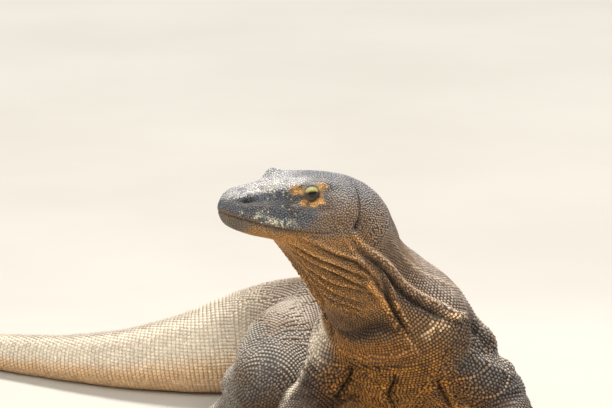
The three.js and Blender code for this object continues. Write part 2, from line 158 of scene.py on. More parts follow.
# Lengths in metres, and rounds of smoothing
skinSettings = {"weld": 2e-6, "grow": 0.0006, "voxel": 0.0042, "smoothing": 20, "restoring": 50}
fleshNodes = [n for n in sorted(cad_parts) if "claw" not in n]
packed, packedFaces, faceNode = [], [], []
flesh = bmesh.new()
for number, name in enumerate(fleshNodes):
    bm = bmesh.new()
    bm.from_mesh(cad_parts[name].data)
    bmesh.ops.remove_doubles(bm, verts=bm.verts, dist=skinSettings["weld"])
    bmesh.ops.recalc_face_normals(bm, faces=bm.faces)
    for v in bm.verts:
        v.co = v.co + v.normal * skinSettings["grow"]      # closes the thin gaps between neighbours
    start = sum(len(p) for p in packed)
    packed.append(np.array([v.co[:] for v in bm.verts]))
    packedFaces += [[v.index + start for v in f.verts] for f in bm.faces]
    faceNode += [number] * len(bm.faces)
    mesh = bpy.data.meshes.new("part")
    bm.to_mesh(mesh)
    flesh.from_mesh(mesh)
    bpy.data.meshes.remove(mesh)
    bm.free()
packed = toTable(np.concatenate(packed))
faceNode = np.array(faceNode)
nodeTree = BVHTree.FromPolygons(packed.tolist(), packedFaces)

rough = bpy.data.meshes.new("rough")
flesh.to_mesh(rough)
flesh.free()
skin = linked("skin", rough)
remesh = skin.modifiers.new("remesh", "REMESH")
remesh.mode = "VOXEL"
remesh.voxel_size = skinSettings["voxel"]
remesh.use_smooth_shade = True
skin.data = bpy.data.meshes.new_from_object(skin.evaluated_get(bpy.context.evaluated_depsgraph_get()))
skin.modifiers.clear()
bpy.data.meshes.remove(rough)


def readAll(items, field, width, kind):
    # A row of values for each vertex, edge, corner or face
    values = np.empty(len(items) * width, kind)
    items.foreach_get(field, values)
    return values.reshape(-1, width) if width > 1 else values


def coordinatesOf(mesh):
    return toTable(readAll(mesh.vertices, "co", 3, np.float32).astype(float))


def setCoordinates(mesh, points):
    mesh.vertices.foreach_set("co", toModel(points).astype(np.float32).ravel())
    mesh.update()


def normalsOf(mesh):
    return readAll(mesh.vertices, "normal", 3, np.float32).astype(float)


def edgesOf(mesh):
    return readAll(mesh.edges, "vertices", 2, np.int32)


def treeOf(points, mesh):
    return BVHTree.FromPolygons(points.tolist(), [list(p.vertices) for p in mesh.polygons])


atOnce = 6000      # points worked on together, so that the arrays stay small


def relaxed(values, edges, rounds, amount=0.5):
    # Each value moves towards the mean of its neighbours; amount may differ from vertex to vertex
    count = len(values)
    a, b = np.concatenate([edges[:, 0], edges[:, 1]]), np.concatenate([edges[:, 1], edges[:, 0]])
    degree = np.maximum(np.bincount(a, minlength=count), 1)
    flat = values.reshape(count, -1)
    amount = np.broadcast_to(np.asarray(amount, float).reshape(-1, 1), (count, 1))
    for _ in range(rounds):
        columns = [np.bincount(a, weights=flat[b, k], minlength=count) for k in range(flat.shape[1])]
        flat = flat + amount * (np.stack(columns, 1) / degree[:, None] - flat)
    return flat.reshape(values.shape)


def bodyPlace(points):
    # For each point its place along the body and its angle round it, 0 on the ridge and positive left
    place, angle = np.empty(len(points)), np.empty(len(points))
    offset = (body["middle"] * body["along"]).sum(1)
    square = (body["middle"] ** 2).sum(1)
    for start in range(0, len(points), atOnce):
        p = points[start:start + atOnce]
        ahead = p @ body["along"].T - offset
        far = (p**2).sum(1)[:, None] + square - 2 * p @ body["middle"].T
        crossing = ahead[:, :-1] * ahead[:, 1:] <= 0
        cost = np.where(crossing, far[:, :-1], 900 + far[:, :-1])      # past the ends no plane is crossed
        i = cost.argmin(1)
        rows = np.arange(len(p))
        a, b = ahead[rows, i], ahead[rows, i + 1]
        u = np.clip(a / np.where(np.abs(a - b) < 1e-9, 1, a - b), 0, 1)[:, None]
        middle = body["middle"][i] * (1 - u) + body["middle"][i + 1] * u
        up = body["up"][i] * (1 - u) + body["up"][i + 1] * u
        left = body["left"][i] * (1 - u) + body["left"][i + 1] * u
        off = p - middle
        stop = start + len(p)
        place[start:stop] = body["place"][i] + placeStep * u[:, 0]
        angle[start:stop] = np.degrees(np.arctan2((off * left).sum(1), (off * up).sum(1)))
    return place, angle


def nodeOf(points):
    found = np.array([nodeTree.find_nearest(Vector(p))[2] for p in points])
    return faceNode[found]


def ramp(value, low, high):
    t = np.clip((value - low) / (high - low), 0, 1)
    return t * t * (3 - 2 * t)


def hump(value, middle, half):
    return np.exp(-((value - middle) / half)**2)


def smoothSkin():
    mesh = skin.data
    points, edges = coordinatesOf(mesh), edgesOf(mesh)
    node = nodeOf(points)
    isFoot = np.array(["foot" in n for n in fleshNodes])[node]
    isHead = np.array([n in ("head", "lower_jaw") or "eye" in n for n in fleshNodes])[node]
    strength = {"foot": 0.12, "head": 0.3, "body": 0.5}      # the small parts keep more of their shape
    amount = np.where(isFoot, strength["foot"], np.where(isHead, strength["head"], strength["body"]))
    amount = relaxed(amount, edges, 8)
    smooth = relaxed(points, edges, skinSettings["smoothing"], amount)
    setCoordinates(mesh, smooth)
    normals = normalsOf(mesh)
    lost = ((points - smooth) * normals).sum(1)
    setCoordinates(mesh, smooth + normals * relaxed(lost, edges, skinSettings["restoring"])[:, None])


smoothSkin()
print("skin remeshed", len(skin.data.vertices))


def subdivide(chosen):
    # Cuts the faces whose corners are all chosen into four
    bm = bmesh.new()
    bm.from_mesh(skin.data)
    bm.verts.ensure_lookup_table()
    for v in bm.verts:
        v.tag = bool(chosen[v.index])
    edges = {e for f in bm.faces if all(v.tag for v in f.verts) for e in f.edges}
    bmesh.ops.subdivide_edges(bm, edges=list(edges), cuts=1, use_grid_fill=True)
    bm.to_mesh(skin.data)
    bm.free()


def headFrame(points):
    off = points - snout
    return off @ headBack, off @ headLeft, points[:, 2]


eyeSettings = {"behind": 95.5, "aside": 26.3, "height": 378.4, "radius": 12.5, "acrossAngle": 40,
               "upAngle": 41, "forward": 0.10, "upward": 0.10}


def eyeFrame(side):
    middle = onHead(eyeSettings["behind"], eyeSettings["aside"] * side, eyeSettings["height"])
    out = unitRows(headLeft * side - headBack * eyeSettings["forward"] + upright * eyeSettings["upward"])
    upward = unitRows(upright - out * out[2])
    return middle, out, upward, np.cross(upward, out) * side      # the last points back


def eyeAngles(points, side):
    # Angle from the eye's outward axis in parts of its opening's, distance, and offsets back and up
    middle, out, upward, backward = eyeFrame(side)
    off = points - middle
    far = np.linalg.norm(off, axis=1)
    across, high, outward = off @ backward, off @ upward, off @ out
    angle = np.degrees(np.arccos(np.clip(outward / np.maximum(far, 1e-6), -1, 1)))
    flat = np.maximum(np.hypot(across, high), 1e-6)
    opening = 1 / np.hypot(across / flat / eyeSettings["acrossAngle"], high / flat / eyeSettings["upAngle"])
    return angle / opening, far, across, high


mouthLine = {"length": 122, "front": 361, "drop": 25, "curve": 9}


def mouthHeight(behind):
    t = np.clip(behind / mouthLine["length"], 0, 1)
    curve = mouthLine["curve"] * np.sin(math.pi * t) * (0.55 + 0.45 * t)
    return mouthLine["front"] - mouthLine["drop"] * t - curve


earEdge = {"height": [330, 338, 350, 362, 376], "behind": [134, 138.5, 144, 148.5, 151]}


def behindEar(behind, height):
    return behind - np.interp(height, earEdge["height"], earEdge["behind"])


def nearSpot(points, spot, reach):
    behind, left, height = headFrame(points)
    aside = np.abs(left) if spot[1] >= 0 else left      # a spot on the right only is given below zero
    q = ((behind - spot[0]) / reach[0])**2 + ((aside - spot[1]) / reach[1])**2
    return np.exp(-q - ((height - spot[2]) / reach[2])**2)


# (behind the snout, aside, height), the reach each way, and how far it stands out or sinks in
headForms = {
    "browRidge": ((90, 31, 391), (20, 6.5, 4.5), 3.4),
    "browEnd": ((110, 33, 389), (12, 6, 4.5), 1.6),
    "rightBrow": ((75, -24, 393), (14, 8.5, 8), 8.0),
    "crownGroove": ((84, 2, 397), (24, 9, 7), -2.6),
    "lore": ((64, 30, 374), (18, 7, 8), -3.4),
    "underEye": ((98, 45, 361), (15, 7, 3.0), -1.6),
    "cheek": ((124, 47, 355), (15, 12, 15), 2.6),
    "temple": ((121, 40, 381), (13, 8, 7), -1.8),
    "nostrilSwell": ((25, 19, 377), (10, 6, 7), 1.6),
    "nostril": ((23.5, 20.5, 375.2), (7.5, 6, 2.8), -7.0),
    "lipCorner": ((112, 46, 339), (7, 7, 5), -1.6),
    "jawMuscle": ((108, 40, 328), (20, 14, 9), 2.0),
    "chin": ((16, 10, 344), (12, 10, 6), 0.8),
}
# Edges of the head, as points given in the same way: half width, and how far they stand out
headEdges = {
    "snoutEdge": ([(3, 4, 374), (19, 16.6, 379.5), (36, 19.5, 382.5), (53, 22, 384), (65, 24.5, 385)], 3.2,
                  1.9),
    "underSnoutEdge": ([(14, 19, 373), (36, 25, 374), (53, 28, 376), (68, 30, 378)], 4.5, -1.5),
    "browEdge": ([(65, 24.5, 385), (78, 29, 389), (91, 32, 390.5), (104, 35, 389.5), (116, 36, 386)], 2.8,
                 2.4),
    "aboveBrow": ([(60, 18, 388), (80, 20, 394), (100, 22, 395), (118, 24, 393)], 4.5, -1.3),
    "cheekFold": ([(112, 50, 352), (121, 52, 345), (128, 52, 336), (134, 52, 326)], 3.0, -1.3),
}


# How far things stand out or sink in: lips and slit of the mouth, rim and slit and pit of the ear
mouthForm = {"lip": 0.8, "underLip": 1.0, "slit": 1.6, "slitHalf": 1.1}
earForm = {"rim": 2.0, "slit": 3.0, "slitLow": 3.2, "slitHalf": 1.7, "slitAt": 0.8, "pit": 3.4}
# Lids round the eyeball: how far over it they lie at the opening and outside, and what the skin inside sinks
lidForm = {"over": 0.4, "outer": 0.8, "groove": 0.6, "fold": 0.9, "sunk": 2.4, "edge": 0.45, "reach": 34}


def shapeHead():
    mesh = skin.data
    points, normals = coordinatesOf(mesh), normalsOf(mesh)
    behind, left, height = headFrame(points)
    onIt = (1 - ramp(bodyPlace(points)[0], 9.8, 10.6)) * (height > 280)
    lift = np.zeros(len(points))
    for spot, reach, amount in headForms.values():
        lift += amount * nearSpot(points, spot, reach)
    for spots, width, amount in headEdges.values():
        stops = spline(spots, np.linspace(0, len(spots) - 1, 4 * len(spots)))
        for side in (1, -1):
            far, along = nearLine(points, [onHead(b, aside * side, z) for b, aside, z in stops])
            lift += amount * np.exp(-(far / width)**2) * np.sin(math.pi * np.clip(along, 0.08, 0.92))**0.5
    gape = height - mouthHeight(behind)
    inMouth = (1 - ramp(behind, 106, 118)) * (0.35 + 0.65 * ramp(behind, 0, 10))
    lift += inMouth * (mouthForm["lip"] * hump(gape, 5, 4) - mouthForm["underLip"] * hump(gape, -5, 5))
    lift -= inMouth * mouthForm["slit"] * hump(gape, 0, mouthForm["slitHalf"])
    fromEar = behindEar(behind, height)
    atEar = ramp(height, 332, 339) * (1 - ramp(height, 374, 384)) * ramp(np.abs(left), 25, 32)
    earDepth = earForm["slit"] + earForm["slitLow"] * hump(height, 343, 9)
    slit = hump(fromEar, earForm["slitAt"], earForm["slitHalf"])
    lift += atEar * (earForm["rim"] * hump(fromEar, -5, 4.0) - earDepth * slit)
    pit = np.exp(-((height - 341) / 6)**2 - ((fromEar - earForm["slitAt"]) / 3.2)**2)
    lift -= atEar * earForm["pit"] * pit
    points = points + normals * (lift * onIt)[:, None]
    radius = eyeSettings["radius"]
    for side in (1, -1):
        middle, out, _, _ = eyeFrame(side)
        theta, far, _, high = eyeAngles(points, side)
        below = ramp(-high, -3, 4)
        lid = radius + lidForm["over"] + lidForm["outer"] * ramp(theta, 1.0, 1.3)
        lid -= lidForm["groove"] * below * hump(theta, 1.6, 0.12)
        lid += lidForm["fold"] * hump(theta, 2.0, 0.18) * below
        weight = (1 - ramp(theta, 1.5, 2.4)) * (1 - ramp(far, 17, 26))
        target = far * (1 - weight) + lid * weight
        target = np.where(theta < 0.93, radius - lidForm["sunk"], target)
        moved = middle + (points - middle) * (target / far)[:, None]
        rim = (theta > 0.86) & (theta < 1.14) & (far < 20)      # goes onto the opening's edge, to make it even
        off = unitRows(points - middle)
        level = (off @ out)[:, None] * out
        sideways = unitRows(off - level)
        opening = np.degrees(np.arccos(np.clip(off @ out, -1, 1))) / np.maximum(theta, 1e-3)
        turn = np.radians(np.where(theta > 0.99, 1.0, 0.86) * opening)[:, None]
        onEdge = out * np.cos(turn) + sideways * np.sin(turn)
        edgeFar = np.where(theta > 0.99, radius + lidForm["edge"], radius - lidForm["sunk"])[:, None]
        moved = np.where(rim[:, None], middle + onEdge * edgeFar, moved)
        points = np.where((far < lidForm["reach"])[:, None], moved, points)
    setCoordinates(mesh, points)


def onSurface(tree, place, angle):
    # The skin's point at a place along the body and an angle round it
    i = np.clip(np.interp(place, body["place"], np.arange(len(places))), 0, len(places) - 1.001)
    k, u = int(i), i - int(i)
    row = {name: body[name][k] * (1 - u) + body[name][k + 1] * u for name in ("middle", "up", "left")}
    out = unitRows(row["up"] * math.cos(math.radians(angle)) + row["left"] * math.sin(math.radians(angle)))
    hit = tree.ray_cast(Vector(row["middle"]), Vector(out))[0]
    return np.array(hit) if hit is not None else row["middle"] + out * 50


def nearLine(points, line):
    # Distance to a line of points, and how far along it the nearest spot is, from 0 to 1
    best, along = np.full(len(points), 1e9), np.zeros(len(points))
    for k, (a, b) in enumerate(zip(line[:-1], line[1:])):
        run = b - a
        t = np.clip((points - a) @ run / (run @ run), 0, 1)
        far = np.linalg.norm(points - a - t[:, None] * run, axis=1)
        nearer = far < best
        best = np.where(nearer, far, best)
        along = np.where(nearer, (k + t) / (len(line) - 1), along)
    return best, along


# Folds of the loose skin of neck and chest: (place, angle) points, half width, and how far they stand out.
folds = {
    "neckFold": ([(9.4, 86), (9.87, 91), (10.53, 90), (11.39, 95), (12.0, 94), (12.49, 91), (12.77, 90),
                  (13.05, 84), (13.4, 80)], 3.4, 7.5),
    "underNeckFold": ([(9.8, 99), (10.6, 98), (11.4, 103), (12.0, 102), (12.5, 99), (13.0, 93)], 3.2, -6.0),
    "throatFold": ([(10.2, 116), (10.73, 121), (11.42, 126), (11.97, 131), (12.58, 133), (12.85, 134)],
                   3.0, 5.5),
    "underThroatFold": ([(10.8, 116), (11.3, 119), (11.85, 126), (12.3, 129), (12.6, 130)], 2.6, -4.5),
    "sideFold": ([(10.5, 98), (10.9, 103), (11.2, 108), (11.6, 117), (12.15, 123), (12.66, 130)], 2.2, 4.5),
    "underSideFold": ([(10.7, 107), (11.1, 112), (11.5, 123), (12.0, 129)], 2.4, -3.0),
    "shoulderPocket": ([(13.3, 80), (13.85, 87)], 10, -8.5),
    "napeFold": ([(10.3, 62), (11.3, 70), (12.3, 68), (13.2, 60)], 4, 2.0),
    "jawFold": ([(9.3, 98), (9.75, 104), (10.1, 110)], 3.0, 2.4),
    "scuffFold": ([(12.55, 104), (12.6, 112), (12.64, 120)], 3.0, 2.0),
}
# Broad swells and hollows, that leave the colour as it is
swells = {
    "pocketRim": ([(13.1, 98), (13.75, 103), (14.4, 101), (14.75, 92)], 6.5, 2.8),
    "shoulderStep": ([(13.65, 98), (14.05, 92), (14.5, 87), (15.0, 83)], 14, -11.5),
    "armCorner": ([(13.95, 106), (14.35, 100), (14.8, 96), (15.2, 92)], 13, -7.5),
    "armpit": ([(14.5, 127), (14.85, 129), (15.2, 130)], 11, 9.0),
    "napeDip": ([(10.8, 30), (11.5, 34), (12.15, 38)], 26, -9.0),
    "throatFront": ([(7.6, 176), (9.0, 176), (10.4, 176)], 22, -3.6),
}
# Loose ridges of the throat, from behind the jaw to the neck
throatRidges = [
    [(7.4, 124), (8.47, 116), (9.39, 113), (9.92, 107), (10.12, 108), (10.65, 109), (10.95, 115)],
    [(6.9, 143), (7.5, 138), (8.2, 133), (8.8, 129), (9.7, 123), (10.28, 116), (10.5, 113)],
    [(7.2, 152), (7.7, 148), (8.2, 143), (9.03, 137), (9.72, 132), (10.21, 128), (10.64, 123),
     (11.13, 124)],
    [(7.7, 158), (8.2, 155), (8.7, 152), (9.43, 148), (9.89, 144), (10.28, 136), (10.61, 129), (10.9, 124)],
    [(8.3, 165), (8.8, 162), (9.4, 158), (10.0, 154), (10.5, 147), (10.95, 138)],
    [(9.0, 172), (9.4, 170), (9.9, 167), (10.4, 161), (10.85, 152), (11.2, 145)],
    [(9.6, 179), (10.3, 172), (10.72, 168), (10.99, 158), (11.25, 152)],
]
ridgeForm = {"width": 2.1, "height": 3.6, "trough": 3.4, "apart": 4.6}
# Angles past 180 go on round the keel to the right side.
middleFolds = {
    "gularFold": ([(13.0, 220), (12.9, 195), (12.8, 170), (12.75, 150), (12.8, 135)], 4.2, 6.0),
    "underThroat": ([(12.3, 220), (12.25, 195), (12.0, 170), (11.9, 150), (12.2, 138)], 9, -7.0),
    "underGularFold": ([(13.35, 218), (13.25, 195), (13.15, 170), (13.1, 150), (13.1, 137)], 3.0, -4.0),
    "throatHollow": ([(12.2, 232), (12.8, 229)], 7, -6.0),
    "chestCreaseA": ([(13.4, 168), (13.75, 178), (14.1, 188), (14.7, 191)], 2.8, -8.5),
    "chestCreaseB": ([(13.7, 134), (14.0, 137), (14.6, 140), (15.1, 142)], 2.8, -8.0),
    "chestCreaseC": ([(13.5, 218), (14.0, 224), (14.6, 228)], 2.8, -7.0),
    "chestRidgeA": ([(13.5, 174), (14.1, 193), (14.7, 196)], 3.4, 3.5),
    "chestRidgeB": ([(13.8, 129), (14.6, 135), (15.1, 137)], 3.4, 3.5),
}


def foldSkin(foldLift):
    mesh = skin.data
    points, normals = coordinatesOf(mesh), normalsOf(mesh)
    tree = treeOf(points, mesh)
    lift, swell = np.zeros(len(points)), np.zeros(len(points))

    def addFold(spots, width, amount, lift=lift):
        stops = spline(spots, np.linspace(0, len(spots) - 1, 4 * len(spots)))
        line = [onSurface(tree, place, angle) for place, angle in stops]
        low, high = np.min(line, 0) - 4 * width, np.max(line, 0) + 4 * width
        near = np.where(((points > low) & (points < high)).all(1))[0]
        far, along = nearLine(points[near], line)
        lift[near] += amount * np.exp(-(far / width)**2) * np.sin(math.pi * np.clip(along, 0.06, 0.94))**0.6

    for spots, width, amount in folds.values():
        addFold(spots, width, amount)
        addFold([(p, -a) for p, a in spots], width, amount)
    for spots, width, amount in middleFolds.values():
        addFold(spots, width, amount)
    for sign in (1, -1):
        for spots, width, amount in swells.values():
            addFold([(p, a * sign) for p, a in spots], width, amount, swell)
        for spots in throatRidges:
            addFold([(p, a * sign) for p, a in spots], ridgeForm["width"], ridgeForm["height"])
            beside = [(p, (a + ridgeForm["apart"]) * sign) for p, a in spots]
            addFold(beside, ridgeForm["width"], -ridgeForm["trough"])
    foldLift[:] = lift
    setCoordinates(mesh, points + normals * (lift + swell)[:, None])


def noise(points, size, seed=0.0):
    # Smooth values from -1 to 1 that change over about size
    q = np.asarray(points) / size + seed * 7.31
    low = np.floor(q)
    f = q - low
    f = f * f * (3 - 2 * f)
    total = np.zeros(len(q))
    for corner in range(8):
        step = np.array([corner & 1, corner >> 1 & 1, corner >> 2 & 1])
        key = np.sin((low + step) @ np.array([12.9898, 78.233, 37.719])) * 43758.5453
        weight = np.prod(np.where(step, f, 1 - f), axis=1)
        total += weight * (key - np.floor(key))
    return 2 * total - 1


# How deep the wrinkles and lumps are, and how far the skin is let in to make room for the coat
wrinkles = {"flank": 0.4, "leg": 0.7, "small": 0.5, "large": 0.8, "room": 0.35, "lowest": 0.35}


def wrinkleSkin():
    mesh = skin.data
    points, normals = coordinatesOf(mesh), normalsOf(mesh)
    place, angle = bodyPlace(points)
    node = np.array(fleshNodes)[nodeOf(points)]
    isLeg = np.array(["leg" in n and "foot" not in n for n in node])
    onBody = np.array(["leg" not in n for n in node])
    run = np.interp(place, body["place"], body["run"])
    rings = np.sin(run / 2.6 + 2.2 * noise(points, 22, 3))
    flank = ramp(place, 13.4, 14.5) * (1 - ramp(place, 19.2, 20.5)) * ramp(np.abs(angle), 45, 80)
    lift = onBody * flank * wrinkles["flank"] * rings * ramp(noise(points, 30, 5), -0.2, 0.6)
    legRings = np.sin(points[:, 2] / 2.4 + 2.5 * noise(points, 16, 8))
    lift += isLeg * wrinkles["leg"] * legRings * ramp(noise(points, 26, 2), -0.1, 0.5)
    lumps = wrinkles["small"] * noise(points, 14, 1) + wrinkles["large"] * noise(points, 34, 4)
    lift += lumps * onBody * ramp(place, 9.5, 12)
    lift -= wrinkles["room"]
    points = points + normals * lift[:, None]
    points[:, 2] = np.maximum(points[:, 2], wrinkles["lowest"])
    setCoordinates(mesh, points)


points = coordinatesOf(skin.data)
skinNode = np.array(fleshNodes)[nodeOf(points)]
# Where the skin is cut finer: whole nodes, the chest's part of a node, and round eyes, lips and nostrils
finer = {"nodes": ("head", "lower_jaw", "eye_left", "eye_right", "neck_upper", "neck_lower"),
         "chest": (13, 15.6), "chestAngle": 100, "chestHeight": 60, "eye": 30, "lip": 7, "lips": (-6, 118),
         "lipHeight": 320, "nostril": ((25, 20, 376), (8, 9, 8)), "nostrilShare": 0.35}
fine = np.array([n in finer["nodes"] or "foot" in n for n in skinNode])
place, angle = bodyPlace(points)
onChest = (place > finer["chest"][0]) & (place < finer["chest"][1]) & (np.abs(angle) > finer["chestAngle"])
subdivide(fine | onChest & (points[:, 2] > finer["chestHeight"]))
points = coordinatesOf(skin.data)
near = [np.linalg.norm(points - eyeFrame(side)[0], axis=1) < finer["eye"] for side in (1, -1)]
behind, _, height = headFrame(points)
lips = (np.abs(height - mouthHeight(behind)) < finer["lip"]) & (height > finer["lipHeight"])
lips &= (behind > finer["lips"][0]) & (behind < finer["lips"][1])
subdivide(near[0] | near[1] | lips | (nearSpot(points, *finer["nostril"]) > finer["nostrilShare"]))
points, edges = coordinatesOf(skin.data), edgesOf(skin.data)
setCoordinates(skin.data, relaxed(points, edges, 4, 0.5))
shapeHead()
foldLift = np.zeros(len(points))
foldSkin(foldLift)
wrinkleSkin()
skin.data.polygons.foreach_set("use_smooth", [True] * len(skin.data.polygons))
print("skin shaped", len(skin.data.vertices))


def legAxis(leg):
    stops = np.array([onLeg(leg, *spot) for spot in leg["line"]])
    t = np.linspace(0, len(stops) - 1, 160)
    middles = spline(stops, t)
    along = unitRows(np.gradient(middles, axis=0))
    up = [upright - along[0] * along[0][2]]
    for a in along:
        up.append(up[-1] - a * (up[-1] @ a))      # carried along without twist
    return axisFrames(middles, unitRows(np.array(up[1:])))


def clawEnds(name):
    # The middle of a claw's root and its tip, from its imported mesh
    points = toTable([v.co[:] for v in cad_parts[name].data.vertices])
    foot = toTable(sum((np.array(c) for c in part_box(name.rsplit("_claw", 1)[0] + "_foot"))) / 2)
    far = np.linalg.norm(points - foot, axis=1)
    tip = points[far.argmax()]
    back = np.linalg.norm(points - tip, axis=1)
    root = points[back > 0.93 * back.max()].mean(0)
    return root, tip


def toeAxis(legName, number):
    root = clawEnds(f"{legName}_claw_{number}")[0]
    axis = legAxes[legName]
    start = axis["middle"][-14] * 0.7 + root * 0.3
    start[2] = 8
    middles = start + (root - start) * np.linspace(0, 1.0, 30)[:, None]
    middles[:, 2] = np.linspace(start[2], root[2] - 0.5, 30)
    up = np.tile(upright, (30, 1))
    return axisFrames(middles, unitRows(up - unitRows(root - start) * unitRows(root - start)[2]))


legAxes = {name: legAxis(leg) for name, leg in legs.items()}
points = coordinatesOf(skin.data)
skinTree = treeOf(points, skin.data)

# The unwrap: the body's length and girth above, the four legs side by side below
legStrip = {"top": 0.27, "wide": 0.25, "used": 0.235}


def chartPoint(chart, run, angle):
    # angle in radians, 0 on the ridge; chart 0 is the body and 1 to 4 the legs
    turned = 0.5 + angle / (2 * math.pi)
    onBody = chart == 0
    u = np.where(onBody, 0.01 + 0.97 * run**0.7,
                 (chart - 1) * legStrip["wide"] + 0.006 + legStrip["used"] * run)
    v = np.where(onBody, 0.30 + 0.66 * turned, 0.006 + legStrip["top"] * 0.95 * turned)
    return np.stack([u, v], 1)


def legPlace(points, axis):
    # For points of a leg, the share of its length run and the angle round it
    share, angle = np.empty(len(points)), np.empty(len(points))
    for start in range(0, len(points), atOnce):
        p = points[start:start + atOnce]
        i = ((p[:, None, :] - axis["middle"][None]) ** 2).sum(2).argmin(1)
        off = p - axis["middle"][i]
        angle[start:start + len(p)] = np.arctan2((off * axis["left"][i]).sum(1), (off * axis["up"][i]).sum(1))
        share[start:start + len(p)] = axis["run"][i] / axis["run"][-1]
    return share, angle


def wherePoints(points, chart=None):
    # Everything that the markings are worked out from
    names = [fleshNodes[k] for k in nodeOf(points)]
    place, angle = bodyPlace(points)
    share = np.full(len(points), -1.0)
    turn = np.radians(angle)
    part = np.zeros(len(points))
    for k, name in enumerate(legs):
        mine = np.array([n.startswith(name) for n in names]) if chart is None else chart == k + 1
        if mine.any():
            share[mine], turn[mine] = legPlace(points[mine], legAxes[name])
            part[mine] = k + 1
    run = np.where(part > 0, share, np.interp(place, body["place"], body["run"]) / body["run"][-1])
    return {"points": points, "place": place, "angle": angle, "turned": np.abs(angle), "share": share,
            "part": part, "run": run, "turn": turn}


def between(value, rise, fall):
    # 1 from the end of the first span to the start of the second, with soft ends
    return ramp(value, *rise) * (1 - ramp(value, *fall))


def raiseMask(masks, name, value):
    masks[name] = np.maximum(masks[name], value)


# Gold patches of the lids: (back, up) of the eye's middle, half length, half height, strength
lidPatches = [(-15.5, 4.6, 8.8, 6.0, 1.0), (13.5, 6.6, 7.2, 5.4, 1.0), (-8.5, -9.8, 6.0, 3.8, 1.0),
              (0, -12.4, 8.0, 3.8, 1.0), (9.0, -9.6, 6.2, 4.0, 1.0), (12.0, -2.5, 2.6, 5.0, 0.6)]
# Dark rings round the eye, in parts of its opening: where, and half width; the folds and the socket are painted
# shade
eyeRings = {"rim": (1.10, 0.09), "underFold": (2.02, 0.16), "overFold": (1.42, 0.14),
            "socket": (0.92, 1.05)}


def eyeMarks(points, masks):
    for side in (1, -1):
        theta, far, across, high = eyeAngles(points, side)
        near = (far < lidForm["reach"]) & (far > 9)
        broken = 0.40 + 0.60 * ramp(noise(points, 4.5, 18) + 0.5 * noise(points, 2.2, 14), -0.6, 0.0)
        gold = np.zeros(len(points))
        for back, up, length, tall, strength in lidPatches:
            inPatch = np.exp(-(((across - back) / length)**2 + ((high - up) / tall)**2)**2)
            gold = np.maximum(gold, strength * inPatch)
        raiseMask(masks, "lid", near * gold * broken)
        ring = 0.7 * hump(theta, *eyeRings["rim"])
        # Painted shade in the folds of the lids and in the socket round the eyeball
        loose = hump(theta, *eyeRings["underFold"]) * ramp(-high, 0, 5)
        loose += 0.8 * hump(theta, *eyeRings["overFold"]) * ramp(high, 4, 10)
        socket = (1 - ramp(theta, *eyeRings["socket"])) * (far < 20)
        raiseMask(masks, "dark", np.maximum(near * np.maximum(0.6 * loose, ring), 0.95 * socket))


# Lines on the head, as heights at distances behind the snout: where its colours stop, and where the painted
# shadow under the brow lies
snoutLine = {"behind": [0, 12, 36, 65, 91, 116, 150], "height": [372, 377, 381, 384, 389.5, 385, 376]}
browLine = {"behind": [64, 78, 88, 98, 110, 118], "height": [379.5, 386, 390, 391.5, 391, 388]}
# Spots of the head: (behind, aside, height) and the reach each way; the right brow's swelling gets a painted
# highlight, the nostril and the ear's pit painted shade
headSpots = {"rightBrow": ((76, -24, 397), (16, 13, 10)), "nostril": ((23.5, 21, 374.6), (6.4, 7, 2.9)),
             "earPit": ((139, 52, 341), (4.4, 14, 7.5))}
# Spans that the head's colours fade over: distances behind the snout, or above or under the mouth line
headSpans = {
    "neck": (9.2, 10.2), "slateEnd": (92, 124), "slateLow": (350, 372), "aboveLip": (2.2, 5.0),
    "paleEnd": (84, 112), "belowMouth": (-2, 5), "jawEnd": (44, 80), "lowJaw": (4, 10),
    "lowJawStart": (12, 34), "underJaw": (1.5, 8), "underJawStart": (14, 40), "chinEnd": (66, 96),
    "lipLow": (0.5, 4.5), "lipHigh": (7, 13), "lipStart": (16, 38), "lipEnd": (60, 86),
    "fleckLow": (2, 6), "fleckStart": (8, 20), "fleckEnd": (64, 88),
    "mouthPale": (20, 50), "mouthEnd": (96, 112), "browStart": (58, 68), "browEnd": (108, 118),
    "earLow": (334, 339), "earHigh": (370, 382), "earPaleHigh": (352, 362),
}


